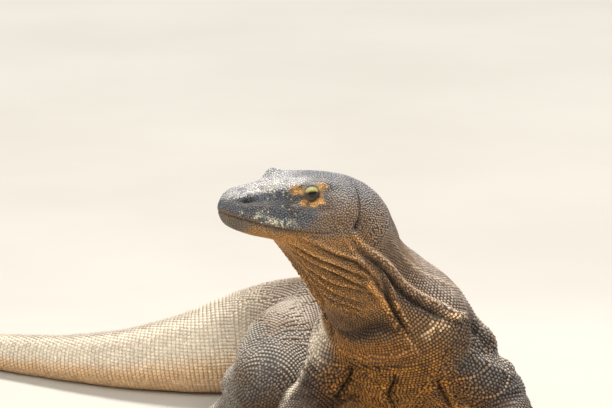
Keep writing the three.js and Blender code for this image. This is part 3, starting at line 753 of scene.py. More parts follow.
def headMarks(points, at, masks):
    spans = headSpans
    behind, left, height = headFrame(points)
    aside, fine = np.abs(left), noise(points, 19, 12)
    onIt = (1 - ramp(at["place"], *spans["neck"])) * (height > 285)
    gape = height - mouthHeight(behind)
    edge = np.interp(behind, snoutLine["behind"], snoutLine["height"])
    onTop = ramp(height + 1.5 * noise(points, 6, 13), edge - 1.5, edge + 1.5) * onIt
    aboveLip = ramp(gape + 1.6 * noise(points, 5, 24) + 1.2 * noise(points, 2.4, 25), *spans["aboveLip"])
    fading = ramp(behind + 12 * fine + 0.5 * (370 - height), *spans["slateEnd"])
    masks["slate"] += onIt * aboveLip * (1 - fading * (0.95 - 0.45 * ramp(height, *spans["slateLow"])))
    # Paler top of the head with white flecks: partly dusty scales, partly a painted highlight of the lit top
    flecked = ramp(noise(points, 2.6, 44) + 0.5 * noise(points, 7, 29) + 0.008 * behind, -0.35, 0.35)
    masks["pale"] = onTop * (1 - ramp(behind + 8 * fine, *spans["paleEnd"])) * (0.15 + 0.85 * flecked)
    # A painted highlight on the swelling over the right brow
    raiseMask(masks, "pale", 0.85 * nearSpot(points, *headSpots["rightBrow"]))

    # The lower jaw is brown in front and orange under it
    belowMouth = ramp(-gape, *spans["belowMouth"])
    lowJaw = ramp(-gape + 2.5 * noise(points, 9, 23), *spans["lowJaw"]) * ramp(behind, *spans["lowJawStart"])
    jaw = belowMouth * (1 - ramp(behind + 12 * fine, *spans["jawEnd"])) * (1 - 0.85 * lowJaw)
    masks["jaw"] = onIt * np.maximum(jaw, 0.35 * (1 - aboveLip) * (1 - belowMouth))
    underJaw = onIt * ramp(-gape + 3 * fine, *spans["underJaw"]) * ramp(behind, *spans["underJawStart"])
    chin = underJaw * (1 - ramp(behind, *spans["chinEnd"]))
    raiseMask(masks, "throat", underJaw * (0.85 + 0.15 * fine))
    raiseMask(masks, "gular", 0.6 * chin)
    raiseMask(masks, "lid", 0.28 * chin)

    # Worn pale scales along the upper lip, and flecks of them on the cheek
    patchy = ramp(noise(points, 7, 15) + 0.9 * noise(points, 2.6, 16), -0.2, 0.5)
    band = onIt * ramp(gape + 2 * fine, *spans["lipLow"]) * (1 - ramp(gape + 5 * fine, *spans["lipHigh"]))
    band *= ramp(behind + 6 * fine, *spans["lipStart"])
    masks["lip"] = 0.9 * band * (1 - ramp(behind + 10 * noise(points, 7, 27), *spans["lipEnd"])) * patchy
    flecks = ramp(noise(points, 3.4, 17) + 0.3 * noise(points, 1.9, 28), 0.42, 0.62)
    flecks *= onIt * ramp(gape, *spans["fleckLow"]) * (aside > 12)
    raiseMask(masks, "lip", 0.6 * flecks * between(behind, spans["fleckStart"], spans["fleckEnd"]))

    # Painted shade in the slit of the mouth and a painted shadow under the brow; then painted shade in the
    # nostril and in the ear's pit and slit
    mouthShade = hump(gape, 0, mouthForm["slitHalf"]) * (1 - 0.7 * ramp(behind, *spans["mouthPale"]))
    mouthShade *= 1 - ramp(behind, *spans["mouthEnd"])
    underBrow = height - np.interp(behind, browLine["behind"], browLine["height"])
    browShadow = hump(underBrow, 0, 1.1) * between(behind, spans["browStart"], spans["browEnd"])
    raiseMask(masks, "dark", 0.6 * onIt * np.maximum(mouthShade, browShadow))
    raiseMask(masks, "dark", 0.9 * nearSpot(points, *headSpots["nostril"]))
    raiseMask(masks, "dark", nearSpot(points, *headSpots["earPit"]))
    fromEar = behindEar(behind, height)
    atEar = between(height, spans["earLow"], spans["earHigh"]) * (aside > 25) * onIt
    raiseMask(masks, "dark", 0.85 * hump(fromEar, 0.9, earForm["slitHalf"]) * atEar)
    raiseMask(masks, "pale",
              0.5 * hump(fromEar, -2.4, 1.2) * atEar * (1 - ramp(height, *spans["earPaleHigh"])))
    masks["soft"] = onIt * np.where(onTop > 0.5, 0.0, 0.55)


# Spans that the body's colours fade over: angles round it, places along it, or shares of a leg
bodySpans = {
    "crownSide": (34, 60), "crownEnd": (9.2, 11.4), "napeSide": (74, 96), "napeStart": (11.0, 12.3),
    "napeEnd": (17, 19), "throatSide": (100, 126), "throatStart": (6.0, 8.2), "throatEnd": (12.9, 13.6),
    "gularSide": (130, 150), "gularStart": (12.3, 12.5), "gularEnd": (12.9, 13.15), "bandSide": (112, 134),
    "bandStart": (11.1, 11.6), "bandEnd": (12.15, 12.5), "chestSide": (106, 138),
    "chestStart": (12.6, 13.4), "chestEnd": (16.8, 18.6), "rustOnLeg": (0.34, 0.62),
    "shoulderStart": (13.3, 13.8), "shoulderEnd": (15.0, 15.6), "upperEnd": (0.5, 0.7),
    "paleFoot": (0.45, 0.7), "tailStart": (18.8, 21.4), "sunlitStart": (12.8, 13.1),
    "sunlitEnd": (13.6, 14.0), "armEdgeStart": (0.08, 0.14), "armEdgeEnd": (0.5, 0.6),
    "tailUnder": (74, 120), "bellySide": (118, 145), "bellyStart": (16, 18), "stripeSide": (12, 24),
    "stripeStart": (19.5, 21.5), "softTailStart": (17.2, 18.6), "softTailEnd": (23, 26),
    "softThighEnd": (0.5, 0.65), "softNeckStart": (8.8, 9.6), "softNeckEnd": (11, 12.4),
    "hindRoot": (0.10, 0.30), "foreRoot": (0.02, 0.18),
}
# Marks that lie round one spot: its middle and half width by angle, place or share of the leg
bodySpots = {
    "innerArm": (0.46, 0.16), "thighTurn": (-16, 44), "thighShare": (0.35, 0.12), "lowThigh": (0.44, 0.07),
    "shoulder": (106, 14), "sunlit": (-110, 13), "armEdge": (43, 15), "scabPlace": (13.5, 0.55),
    "scabAngle": (84, 14),
}
# Scuffed streaks above the left shoulder, each from one (place, angle) to another
scuffs = {"lines": [((12.64, 119), (12.56, 104)), ((12.68, 103), (12.72, 93))], "alongHalf": 0.085,
          "roundHalf": 3.0}


def scuffMarks(at, masks):
    points, place, angle = at["points"], at["place"], at["angle"]
    uneven = noise(points, 4.2, 43) + 1.4 * noise(points, 2.4, 45)
    for start, end in scuffs["lines"]:
        run = np.clip((start[1] - angle) / (start[1] - end[1]), 0, 1)
        off = np.hypot((place - start[0] - (end[0] - start[0]) * run) / scuffs["alongHalf"],
                       (angle - start[1] + (start[1] - end[1]) * run) / scuffs["roundHalf"])
        raiseMask(masks, "scuff", 0.75 * (1 - ramp(off + uneven, 0.2, 1.4)) * (at["share"] < 0))


def markings(at):
    # Masks of colour, each from 0 to 1, shared by the skin and its scales
    spans, spots = bodySpans, bodySpots
    points, place, turned, share = at["points"], at["place"], at["turned"], at["share"]
    onHind, onRightArm = at["part"] > 2, at["part"] == 2
    limb = np.where(onHind, ramp(share, *spans["hindRoot"]), ramp(share, *spans["foreRoot"])) * (share >= 0)
    broad, fine, small = noise(points, 55, 11), noise(points, 19, 12), noise(points, 6.5, 41)
    patches = ramp(small + 0.6 * noise(points, 3.4, 42) + 0.3 * fine, -0.15, 0.45)
    onBody = 1 - limb
    names = ("slate", "pale", "jaw", "crown", "nape", "throat", "gular", "rust", "mottle", "limb", "tail",
             "belly", "stripe", "lid", "lip", "scuff", "dark", "soft", "crest", "crease")
    masks = {name: np.zeros(len(points)) for name in names}
    crown = (1 - ramp(turned + 12 * fine, *spans["crownSide"])) * (1 - ramp(place, *spans["crownEnd"]))
    masks["crown"] = crown * (0.75 + 0.25 * broad)
    nape = 1 - ramp(turned + 10 * fine, *spans["napeSide"])
    masks["nape"] = nape * between(place, spans["napeStart"], spans["napeEnd"])

    # Throat and chest: orange, with a plain gular fold, a shaded band before it and a dappled chest
    throat = (ramp(turned + 7 * fine, *spans["throatSide"])
              * between(place, spans["throatStart"], spans["throatEnd"]))
    masks["throat"] = throat * (1 - 0.3 * ramp(fine + broad, -0.2, 0.8))
    plain = ramp(turned + 6 * fine, *spans["gularSide"]) * ramp(place + 0.06 * small, *spans["gularStart"])
    plain *= 1 - ramp(place, *spans["gularEnd"])
    masks["gular"] = plain * (0.85 + 0.15 * small)
    bandPlace = place + 0.12 * small + 0.12 * fine
    shaded = ramp(turned + 8 * small, *spans["bandSide"]) * (1 - ramp(bandPlace, *spans["bandEnd"]))
    shaded *= ramp(bandPlace + 0.012 * (turned - 150), *spans["bandStart"])
    chest = (ramp(turned + 9 * fine, *spans["chestSide"])
             * between(place, spans["chestStart"], spans["chestEnd"]))
    masks["rust"] = chest * (1 - 0.9 * (at["part"] > 0) * ramp(share + 0.06 * fine, *spans["rustOnLeg"]))
    # The chest's dark mottling, and painted shade over the band under the throat
    masks["mottle"] = np.maximum(0.75 * masks["rust"] * patches, shaded * (0.8 + 0.2 * small))
    raiseMask(masks, "mottle", 0.35 * plain * patches)
    raiseMask(masks, "mottle", 0.4 * throat * ramp(small + fine, 0.2, 0.9))
    # Dappled painted shade on the middle of the right arm
    inner = onRightArm * hump(share, *spots["innerArm"])
    raiseMask(masks, "mottle", 0.8 * inner * (0.4 + 0.6 * patches))

    # Legs: slate thighs and upper arms, paler below; the dark front and lower part of the hind thighs is partly
    # painted shade
    turn = np.degrees(at["turn"]) * np.where(at["part"] == 4, 1, -1)
    thigh = (onHind * hump(turn + 8 * fine, *spots["thighTurn"])
             * hump(share + 0.03 * fine, *spots["thighShare"]))
    lowThigh = onHind * hump(share + 0.02 * fine, *spots["lowThigh"])
    upper = limb * ~onHind * (1 - ramp(share, *spans["upperEnd"]))
    masks["slate"] = 0.9 * thigh + 0.7 * upper
    shoulder = hump(turned, *spots["shoulder"]) * (0.7 + 0.3 * fine)
    shoulder *= between(place, spans["shoulderStart"], spans["shoulderEnd"])
    paleLimb = np.where(onHind, 1 - 0.85 * np.maximum(thigh, lowThigh), 0.7 * ramp(share, *spans["paleFoot"]))
    masks["limb"] = np.maximum(limb * paleLimb, 0.55 * shoulder * (share < 0.3))

    # Painted sunlight, over everything darker: a pale strip down the right side of the chest and the right arm,
    # with a lit edge on the arm
    sunlit = hump(at["angle"], *spots["sunlit"]) * between(place, spans["sunlitStart"], spans["sunlitEnd"])
    armEdge = hump(turn, *spots["armEdge"]) * between(share, spans["armEdgeStart"], spans["armEdgeEnd"])
    sunlit = np.maximum(sunlit * (share < 0.3), armEdge * onRightArm)
    for name in ("slate", "throat", "rust", "gular", "mottle"):
        masks[name] *= 1 - 0.9 * sunlit
    tail = ramp(place + 0.4 * broad, *spans["tailStart"]) * onBody
    # The tail's pale colour also paints this sunlight
    masks["tail"] = np.maximum(tail, sunlit)
    masks["belly"] = ramp(turned + 6 * small, *spans["tailUnder"]) * tail
    raiseMask(masks, "belly",
              0.6 * ramp(turned, *spans["bellySide"]) * ramp(place, *spans["bellyStart"]) * onBody)
    masks["stripe"] = (1 - ramp(turned + 5 * small, *spans["stripeSide"])) * onBody
    masks["stripe"] *= ramp(place, *spans["stripeStart"])
    eyeMarks(points, masks)
    headMarks(points, at, masks)
    scuffMarks(at, masks)

    # Where the scales differ little from the skin between them
    raiseMask(masks, "soft", 0.95 * masks["belly"])
    softTail = (0.95 - 0.25 * ramp(place, *spans["softTailEnd"])) * ramp(place, *spans["softTailStart"])
    raiseMask(masks, "soft", softTail * onBody)
    raiseMask(masks, "soft", np.maximum(0.30 * throat, 0.45 * plain))
    raiseMask(masks, "soft", 0.5 * onHind * limb * (1 - ramp(share, *spans["softThighEnd"])))
    raiseMask(masks, "soft", 0.7 * sunlit)
    raiseMask(masks, "soft", 0.35 * between(place, spans["softNeckStart"], spans["softNeckEnd"]))
    raiseMask(masks, "soft", 0.9 * masks["lid"])
    # A dark scab on the left shoulder, and painted shade on the upper arms outside the painted sunlight
    scab = hump(place, *spots["scabPlace"]) * hump(at["angle"], *spots["scabAngle"]) * (share < 0.25)
    scab *= ramp(small + 0.5 * fine, -0.8, -0.1)
    raiseMask(masks, "dark", np.maximum(0.97 * scab, 0.35 * upper * (1 - sunlit)))
    masks["crest"] = ramp(at["lift"], 0.5, 3.4) * (1 - 0.6 * np.maximum(masks["scuff"], plain))
    # Painted shade: darker in the troughs of the folds and over the band under the throat
    masks["crease"] = np.maximum(ramp(-at["lift"], 0.3, 3.6), 0.35 * shaded)
    return {name: np.clip(value, 0, 1) for name, value in masks.items()}


skinPoints = coordinatesOf(skin.data)
skinWhere = wherePoints(skinPoints)
skinWhere["lift"] = foldLift
skinMasks = markings(skinWhere)


# Scale sizes along the body, in table millimetres, and how long the rows stay apart.
sizeAt = {"place": [0, 3, 6, 9, 10.5, 11.7, 13, 15, 18, 21, 24, 27, 29],
          "across": [1.9, 2.2, 2.5, 2.7, 2.9, 3.4, 4.0, 4.5, 4.5, 4.3, 4.1, 3.0, 1.7],
          "pitch": [1, 1, 1, 1, 1.05, 1.2, 1.22, 1.18, 1.25, 1.35, 1.38, 1.38, 1.35]}
throatScales = {"across": 2.3, "until": 11.2, "below": 98}
legSizes = {"share": [0, 0.5, 0.8, 0.93, 1], "across": [4.5, 3.9, 3.0, 2.5, 2.4], "pitch": 1.2, "toe": 2.4}
legReach = {"share": [0, 0.3, 0.6, 0.85, 1], "reach": [38, 38, 30, 18, 22], "toe": 6.0}
raysRound = {"body": 84, "leg": 44, "toe": 18}
rowsStart, toeStart = 9.3, 0.93      # as a place of the body, and as a share of a leg's length


def rowHits(row, rays, reach):
    # The skin's points on one ring of rays from the axis, from under it round to under it again
    turns = np.linspace(-math.pi, math.pi, rays + 1)
    outs = unitRows(np.cos(turns)[:, None] * row["up"] + np.sin(turns)[:, None] * row["left"])
    middle = Vector(row["middle"])
    hits, good = np.zeros((rays + 1, 3)), np.zeros(rays + 1, bool)
    for k, out in enumerate(outs):
        hit, normal, _, far = skinTree.ray_cast(middle, Vector(out), reach)
        if hit is not None and normal.dot(Vector(out)) > 0.25:
            hits[k], good[k] = hit, True
    if good.any():
        far = np.linalg.norm(hits - row["middle"], axis=1)
        good &= far < 1.7 * np.median(far[good]) + 6
    return turns, hits, good


def rowSpots(row, across, shift, rays, reach):
    # Evenly spaced spots on a ring, counted both ways from its top, with their angles
    turns, hits, good = rowHits(row, rays, reach)
    top = len(turns) // 2
    spots, angles = [], []
    for order in (range(top, len(turns)), range(top, -1, -1)):
        order = list(order)
        step = np.linalg.norm(np.diff(hits[order], axis=0), axis=1)
        step = np.where(good[order[1:]] & good[order[:-1]], step, 0)
        run = np.concatenate([[0], np.cumsum(step)])
        if run[-1] < across:
            continue
        first = shift * across + (0 if order[1] > top or shift else across)
        for at in np.arange(first, run[-1], across):
            k = min(np.searchsorted(run, at, side="right") - 1, len(step) - 1)
            if step[k] <= 0:
                continue
            u = (at - run[k]) / step[k]
            spots.append(hits[order[k]] * (1 - u) + hits[order[k + 1]] * u)
            angles.append(turns[order[k]] * (1 - u) + turns[order[k + 1]] * u)
    return spots, angles


def stretchOf(axis, reach):
    # How much longer a step is on the outer side of the axis's bends than along it
    most = np.ones(len(axis["run"]))
    step = np.gradient(axis["run"])
    for name, sign in (("up", 1), ("up", -1), ("left", 1), ("left", -1)):
        edge = axis["middle"] + axis[name] * sign * reach[:, None]
        most = np.maximum(most, np.linalg.norm(np.gradient(edge, axis=0), axis=1) / step)
    return most


candidates = {name: [] for name in ("spot", "along", "across", "angle", "run", "chart", "level")}


def addRows(axis, chart, across, pitch, reach, rays, start=0.0, toe=False):
    stretch = stretchOf(axis, reach)
    run, count = start, 0
    while run < axis["run"][-1]:
        at = np.interp(run, axis["run"], np.arange(len(axis["run"])))
        i = int(round(at))
        width = float(across[i])
        row = {n: axis[n][int(at)] * (1 - at % 1) + axis[n][min(int(at) + 1, len(axis["run"]) - 1)] * (at % 1)
               for n in ("middle", "up", "left", "along")}
        spots, angles = rowSpots(row, width, 0.5 * (count % 2), rays, 2.6 * reach[i] + 10)
        ordered = ramp(axis["place"][i], 9.2, 10.6) if "place" in axis else 1.0      # loose behind the head
        shareRun = run / axis["run"][-1]
        shareRun = toeStart + (1 - toeStart) * shareRun if toe else shareRun
        level = 1 if count % 4 == 0 else 2 if count % 2 == 0 else 3      # every fourth row is kept before others
        onThroat = "place" in axis and axis["place"][i] < throatScales["until"]
        for spot, angle in zip(spots, angles):
            if rng.random() > ordered or onThroat and abs(math.degrees(angle)) > throatScales["below"]:
                continue
            addCandidate(spot=spot, along=row["along"], across=width, angle=angle, run=shareRun, chart=chart,
                         level=level)
        run += float(pitch[i]) * width / stretch[i]
        count += 1
    print("rows", chart, count, len(candidates["spot"]))


def addCandidate(**values):
    for name, value in values.items():
        candidates[name].append(value)


def addRing(spots, alongs, across):
    # Spots round an eye or along a lip, which come before all rows
    place, angle = bodyPlace(np.array(spots))
    runs = np.interp(place, body["place"], body["run"]) / body["run"][-1]
    for spot, along, run, turn in zip(spots, alongs, runs, np.radians(angle)):
        addCandidate(spot=spot, along=along, across=across, angle=turn, run=run, chart=0, level=0)


# Rings of scales on the lids: how far out from the eye's opening, and their width
lidRings = [(1.16, 1.7), (1.32, 1.9), (1.5, 2.0), (1.7, 2.1), (1.92, 2.2), (2.14, 2.3)]


def addLids(side):
    middle, out, upward, backward = eyeFrame(side)
    for number, (theta, width) in enumerate(lidRings):
        wide, tall = (math.radians(theta * eyeSettings[k]) for k in ("acrossAngle", "upAngle"))
        count = int(2 * math.pi * eyeSettings["radius"] * math.sin((wide + tall) / 2) / width)
        spots, alongs = [], []
        for k in range(count):
            turn = 2 * math.pi * (k + 0.5 * (number % 2)) / count
            opening = 1 / math.hypot(math.cos(turn) / wide, math.sin(turn) / tall)
            flat = backward * math.cos(turn) + upward * math.sin(turn)
            ray = out * math.cos(opening) + flat * math.sin(opening)
            hit = skinTree.ray_cast(Vector(middle), Vector(ray), 30)[0]
            if hit is not None:
                spots.append(np.array(hit))
                alongs.append(flat)
        addRing(spots, alongs, width)


lipRows = {"upper": 2.4, "lower": -2.9, "width": 3.0}


def addLips():
    for offset in (lipRows["upper"], lipRows["lower"]):
        for side in (1, -1):
            spots = []
            for behind in np.arange(3, 110, lipRows["width"] * 0.94):
                start = onHead(behind, 0, mouthHeight(behind) + offset)
                hit = skinTree.ray_cast(Vector(start), Vector(headLeft * side), 70)[0]
                if hit is not None:
                    spots.append(np.array(hit))
            addRing(spots, [headBack] * len(spots), lipRows["width"])


def addLegRows():
    for k, (name, axis) in enumerate(legAxes.items()):
        share = np.linspace(0, 1, len(axis["run"]))
        reach = np.interp(share, legReach["share"], legReach["reach"])
        across = np.interp(share, legSizes["share"], legSizes["across"])
        addRows(axis, k + 1, across, np.full(len(share), legSizes["pitch"]), reach, raysRound["leg"])
        for number in range(1, 6):
            toe = toeAxis(name, number)
            even = np.ones(len(toe["run"]))
            addRows(toe, k + 1, legSizes["toe"] * even, even, legReach["toe"] * even, raysRound["toe"], toe=True)


for side in (1, -1):
    addLids(side)
addLips()
bodyReach = np.linalg.norm(ridge - keel, axis=1) / 2
rowsFrom = np.interp(rowsStart, body["place"], body["run"])
addRows(body, 0, np.interp(places, sizeAt["place"], sizeAt["across"]),
        np.interp(places, sizeAt["place"], sizeAt["pitch"]), bodyReach, raysRound["body"], start=rowsFrom)
addLegRows()


def thinned(spots, apart):
    # Keeps the spots that have no earlier one closer than their own distance apart
    cell = 4.8
    grid, kept = {}, []
    cells = np.floor(spots / cell).astype(int).tolist()
    steps = [(dx, dy, dz) for dx in (-1, 0, 1) for dy in (-1, 0, 1) for dz in (-1, 0, 1)]
    for i, ((x, y, z), (px, py, pz), limit) in enumerate(zip(cells, spots.tolist(), (apart**2).tolist())):
        close = (q for d in steps for q in grid.get((x + d[0], y + d[1], z + d[2]), ()))
        if all((px - q[0])**2 + (py - q[1])**2 + (pz - q[2])**2 >= limit for q in close):
            kept.append(i)
            grid.setdefault((x, y, z), []).append((px, py, pz))
    return np.array(kept)


def scatterSpots(perScale):
    # Loose spots over the whole skin: all of the head's small scales, and a few to close gaps between rows
    mesh = skin.data
    mesh.calc_loop_triangles()
    corners = readAll(mesh.loop_triangles, "vertices", 3, np.int32)
    a, b, c = (skinPoints[corners[:, k]] for k in range(3))
    area = np.linalg.norm(np.cross(b - a, c - a), axis=1) / 2
    first = corners[:, 0]
    part, place, share, turned = (skinWhere[key][first] for key in ("part", "place", "share", "turned"))
    across = np.where(part > 0, np.interp(share, legSizes["share"], legSizes["across"]),
                      np.interp(place, sizeAt["place"], sizeAt["across"]))
    onThroat = (part == 0) & (place < throatScales["until"] + 0.2) & (turned > throatScales["below"] - 4)
    across = np.where(onThroat & (place > 4), np.minimum(across, throatScales["across"]), across)
    dense = np.where((part == 0) & (place < 9.8) | onThroat, perScale["head"], perScale["body"])
    pick = np.repeat(np.arange(len(area)), (area / across**2 * dense + rng.random(len(area))).astype(int))
    pick = rng.permutation(pick)
    u, v = rng.random(len(pick)), rng.random(len(pick))
    u, v = np.where(u + v > 1, 1 - u, u)[:, None], np.where(u + v > 1, 1 - v, v)[:, None]
    inRings = (part[pick] == 0) & (place[pick] > 15.5)
    return a[pick] * (1 - u - v) + b[pick] * u + c[pick] * v, across[pick], inRings


coat = {name: np.array(values, float) for name, values in candidates.items()}
inOrder = np.argsort(coat.pop("level"), kind="stable")
coat = {name: values[inOrder] for name, values in coat.items()}
rowCount = len(inOrder)
# Loose spots tried for each scale, and how close scales may come in parts of their width
looseSettings = {"tried": {"head": 10, "body": 3}, "apart": 0.8, "apartInRings": 0.92}
looseSpots, looseAcross, inRings = scatterSpots(looseSettings["tried"])
looseApart = looseAcross * np.where(inRings, looseSettings["apartInRings"], looseSettings["apart"])
apart = np.concatenate([looseSettings["apart"] * coat["across"], looseApart])
kept = thinned(np.concatenate([coat["spot"], looseSpots]), apart)
coat = {name: values[kept[kept < rowCount]] for name, values in coat.items()}
loose = kept[kept >= rowCount] - rowCount
looseWhere = wherePoints(looseSpots[loose])
looseRows = {"spot": looseSpots[loose], "across": looseAcross[loose], "angle": looseWhere["turn"],
             "run": looseWhere["run"], "chart": looseWhere["part"]}
looseRows["along"] = body["along"][np.clip(looseWhere["place"] / placeStep, 0, len(places) - 1).astype(int)]
for k, axis in enumerate(legAxes.values()):
    mine = looseWhere["part"] == k + 1
    at = np.interp(looseWhere["share"][mine], axis["run"] / axis["run"][-1], np.arange(len(axis["run"])))
    looseRows["along"][mine] = axis["along"][at.astype(int)]
coat = {name: np.concatenate([values, looseRows[name]]) for name, values in coat.items()}
print("scales placed", len(kept), "of them loose", len(loose))


def setFloats(mesh, name, values):
    layer = mesh.attributes.new(name, "FLOAT", "POINT")
    layer.data.foreach_set("value", np.asarray(values, np.float32))


for name, values in skinMasks.items():
    setFloats(skin.data, name, values)
setFloats(skin.data, "tone", 0.6 * noise(skinPoints, 3.5, 21))
setFloats(skin.data, "rise", np.zeros(len(skinPoints)))


def unwrapSkin():
    mesh = skin.data
    corners = readAll(mesh.loops, "vertex_index", 1, np.int32)
    starts = readAll(mesh.polygons, "loop_start", 1, np.int32)
    totals = readAll(mesh.polygons, "loop_total", 1, np.int32)
    face = np.repeat(np.arange(len(starts)), totals)
    part = skinWhere["part"][corners[starts]][face]
    share, turn = skinWhere["run"][corners].copy(), skinWhere["turn"][corners].copy()
    for chart in range(5):      # corners across a chart's edge are read on the face's own chart
        strays = (part == chart) & (skinWhere["part"][corners] != chart)
        spots = skinPoints[corners[strays]]
        if not len(spots):
            continue
        if chart:
            share[strays], turn[strays] = legPlace(spots, legAxes[list(legs)[chart - 1]])
        else:
            place, angle = bodyPlace(spots)
            share[strays] = np.interp(place, body["place"], body["run"]) / body["run"][-1]
            turn[strays] = np.radians(angle)
    first = turn[starts][face]
    turn += 2 * math.pi * np.round((first - turn) / (2 * math.pi))      # no face runs round the seam
    layer = mesh.uv_layers.new(name="OFBake")
    layer.data.foreach_set("uv", chartPoint(part, share, turn).astype(np.float32).ravel())


unwrapSkin()
print("skin marked")

# Each kind of scale, in parts of its width: x across, y along the body, z out of the skin
beadAngles = np.radians(np.arange(6) * 60 + 30)


def beadShape(long, tall, crest):
    ring = [(math.cos(a) * 0.53, math.sin(a) * 0.53 * long, -0.10) for a in beadAngles]
    ring += [(math.cos(a) * 0.40, math.sin(a) * 0.42 * long, tall * 0.72) for a in beadAngles]
    verts = ring + [(0, 0.06, tall)]
    faces = [[5, 4, 3, 2, 1, 0]] + [[k, (k + 1) % 6, (k + 1) % 6 + 6, k + 6] for k in range(6)]
    faces += [[k + 6, (k + 1) % 6 + 6, 12] for k in range(6)]
    verts = np.array(verts)
    verts[:, 2] += crest * np.clip(verts[:, 1], 0, 1) * (verts[:, 2] > 0)
    return verts, faces


def keelShape(long, tall, crest):
    square = ((-1, -1), (1, -1), (1, 1), (-1, 1))
    verts = [(x * 0.54, y * long * 0.52, -0.10) for x, y in square]
    verts += [(x * 0.52, y * long * 0.43, tall * 0.6 + 0.04 * y) for x, y in square]
    verts += [(0, -0.45 * long, tall * 0.8), (0, 0.50 * long, tall + crest)]
    faces = [[3, 2, 1, 0], [0, 1, 5, 8, 4], [1, 2, 6, 5], [2, 3, 7, 9, 6], [3, 0, 4, 7], [4, 8, 9, 7],
             [8, 5, 6, 9]]
    return np.array(verts), faces


scaleKinds = {
    "grain": beadShape(1.00, 0.26, 0.06),
    "bead": beadShape(0.92, 0.34, 0.14),
    "plate": beadShape(1.02, 0.20, 0.03),
    "pebble": beadShape(0.90, 0.36, 0.16),
    "keeled": keelShape(0.84, 0.34, 0.18),
    "belly": keelShape(1.00, 0.14, 0.04),
}


def coatFrames():
    # Roots on the skin, with the skin's own smooth normal, the lie of the coat and the fold they stand on
    normals = normalsOf(skin.data)
    polygons = skin.data.polygons
    count = len(coat["spot"])
    roots, ups, lift = np.empty((count, 3)), np.empty((count, 3)), np.empty(count)
    for i, spot in enumerate(coat["spot"]):
        hit, _, face, _ = skinTree.find_nearest(Vector(spot))
        corners = list(polygons[face].vertices)
        roots[i], ups[i], lift[i] = hit, normals[corners].sum(0), foldLift[corners].mean()
    ups = unitRows(ups)
    along = unitRows(coat["along"] - ups * (coat["along"] * ups).sum(1)[:, None])
    return roots, ups, along, lift


def roomRound(spots):
    # Mean distance to the six nearest scales
    tree = KDTree(len(spots))
    for i, spot in enumerate(spots):
        tree.insert(spot, i)
    tree.balance()
    return np.array([np.mean([d for _, _, d in tree.find_n(spot, 7)[1:]]) for spot in spots])


coatRoot, coatUp, coatAlong, coatLift = coatFrames()
coatSide = np.cross(coatAlong, coatUp)
coatWhere = wherePoints(coatRoot, coat["chart"])
coatWhere["lift"] = coatLift
coatMasks = markings(coatWhere)
coatTone = np.clip(rng.normal(0, 0.5, len(coatRoot)) + 0.5 * noise(coatRoot, 12, 31), -1, 1)
isBody = coat["chart"] == 0
coatPitch = np.where(isBody, np.interp(coatWhere["place"], sizeAt["place"], sizeAt["pitch"]),
                     legSizes["pitch"])
roomUsual = (2 + 4 * np.hypot(0.5, coatPitch)) / 6      # what six neighbours of even rows would give
coatWidth = np.clip(roomRound(coatRoot) / (coat["across"] * roomUsual), 0.88, 1.22) * coat["across"]
coatWidth *= rng.uniform(0.94, 1.05, len(coatRoot))
# Which kind lies where on the body, by places and then by angles; a later one goes over an earlier one
kindZones = [("bead", (-1, 12.6), (-1, 181)), ("grain", (-1, 9.4), (-1, 181)), ("plate", (-1, 8.8), (-1, 62)),
             ("keeled", (10.2, 30), (-1, 78)), ("keeled", (18.5, 30), (-1, 181)),
             ("belly", (15.5, 30), (128, 181))]
coatKind = np.full(len(coatRoot), "pebble", dtype="<U8")
for kind, fromTo, turned in kindZones:
    inZone = isBody & (coatWhere["place"] > fromTo[0]) & (coatWhere["place"] < fromTo[1])
    coatKind[inZone & (coatWhere["turned"] > turned[0]) & (coatWhere["turned"] < turned[1])] = kind


hideFloats = [*coatMasks, "tone", "rise"]
patchSize = 0.0028      # of a scale on the OFBake map


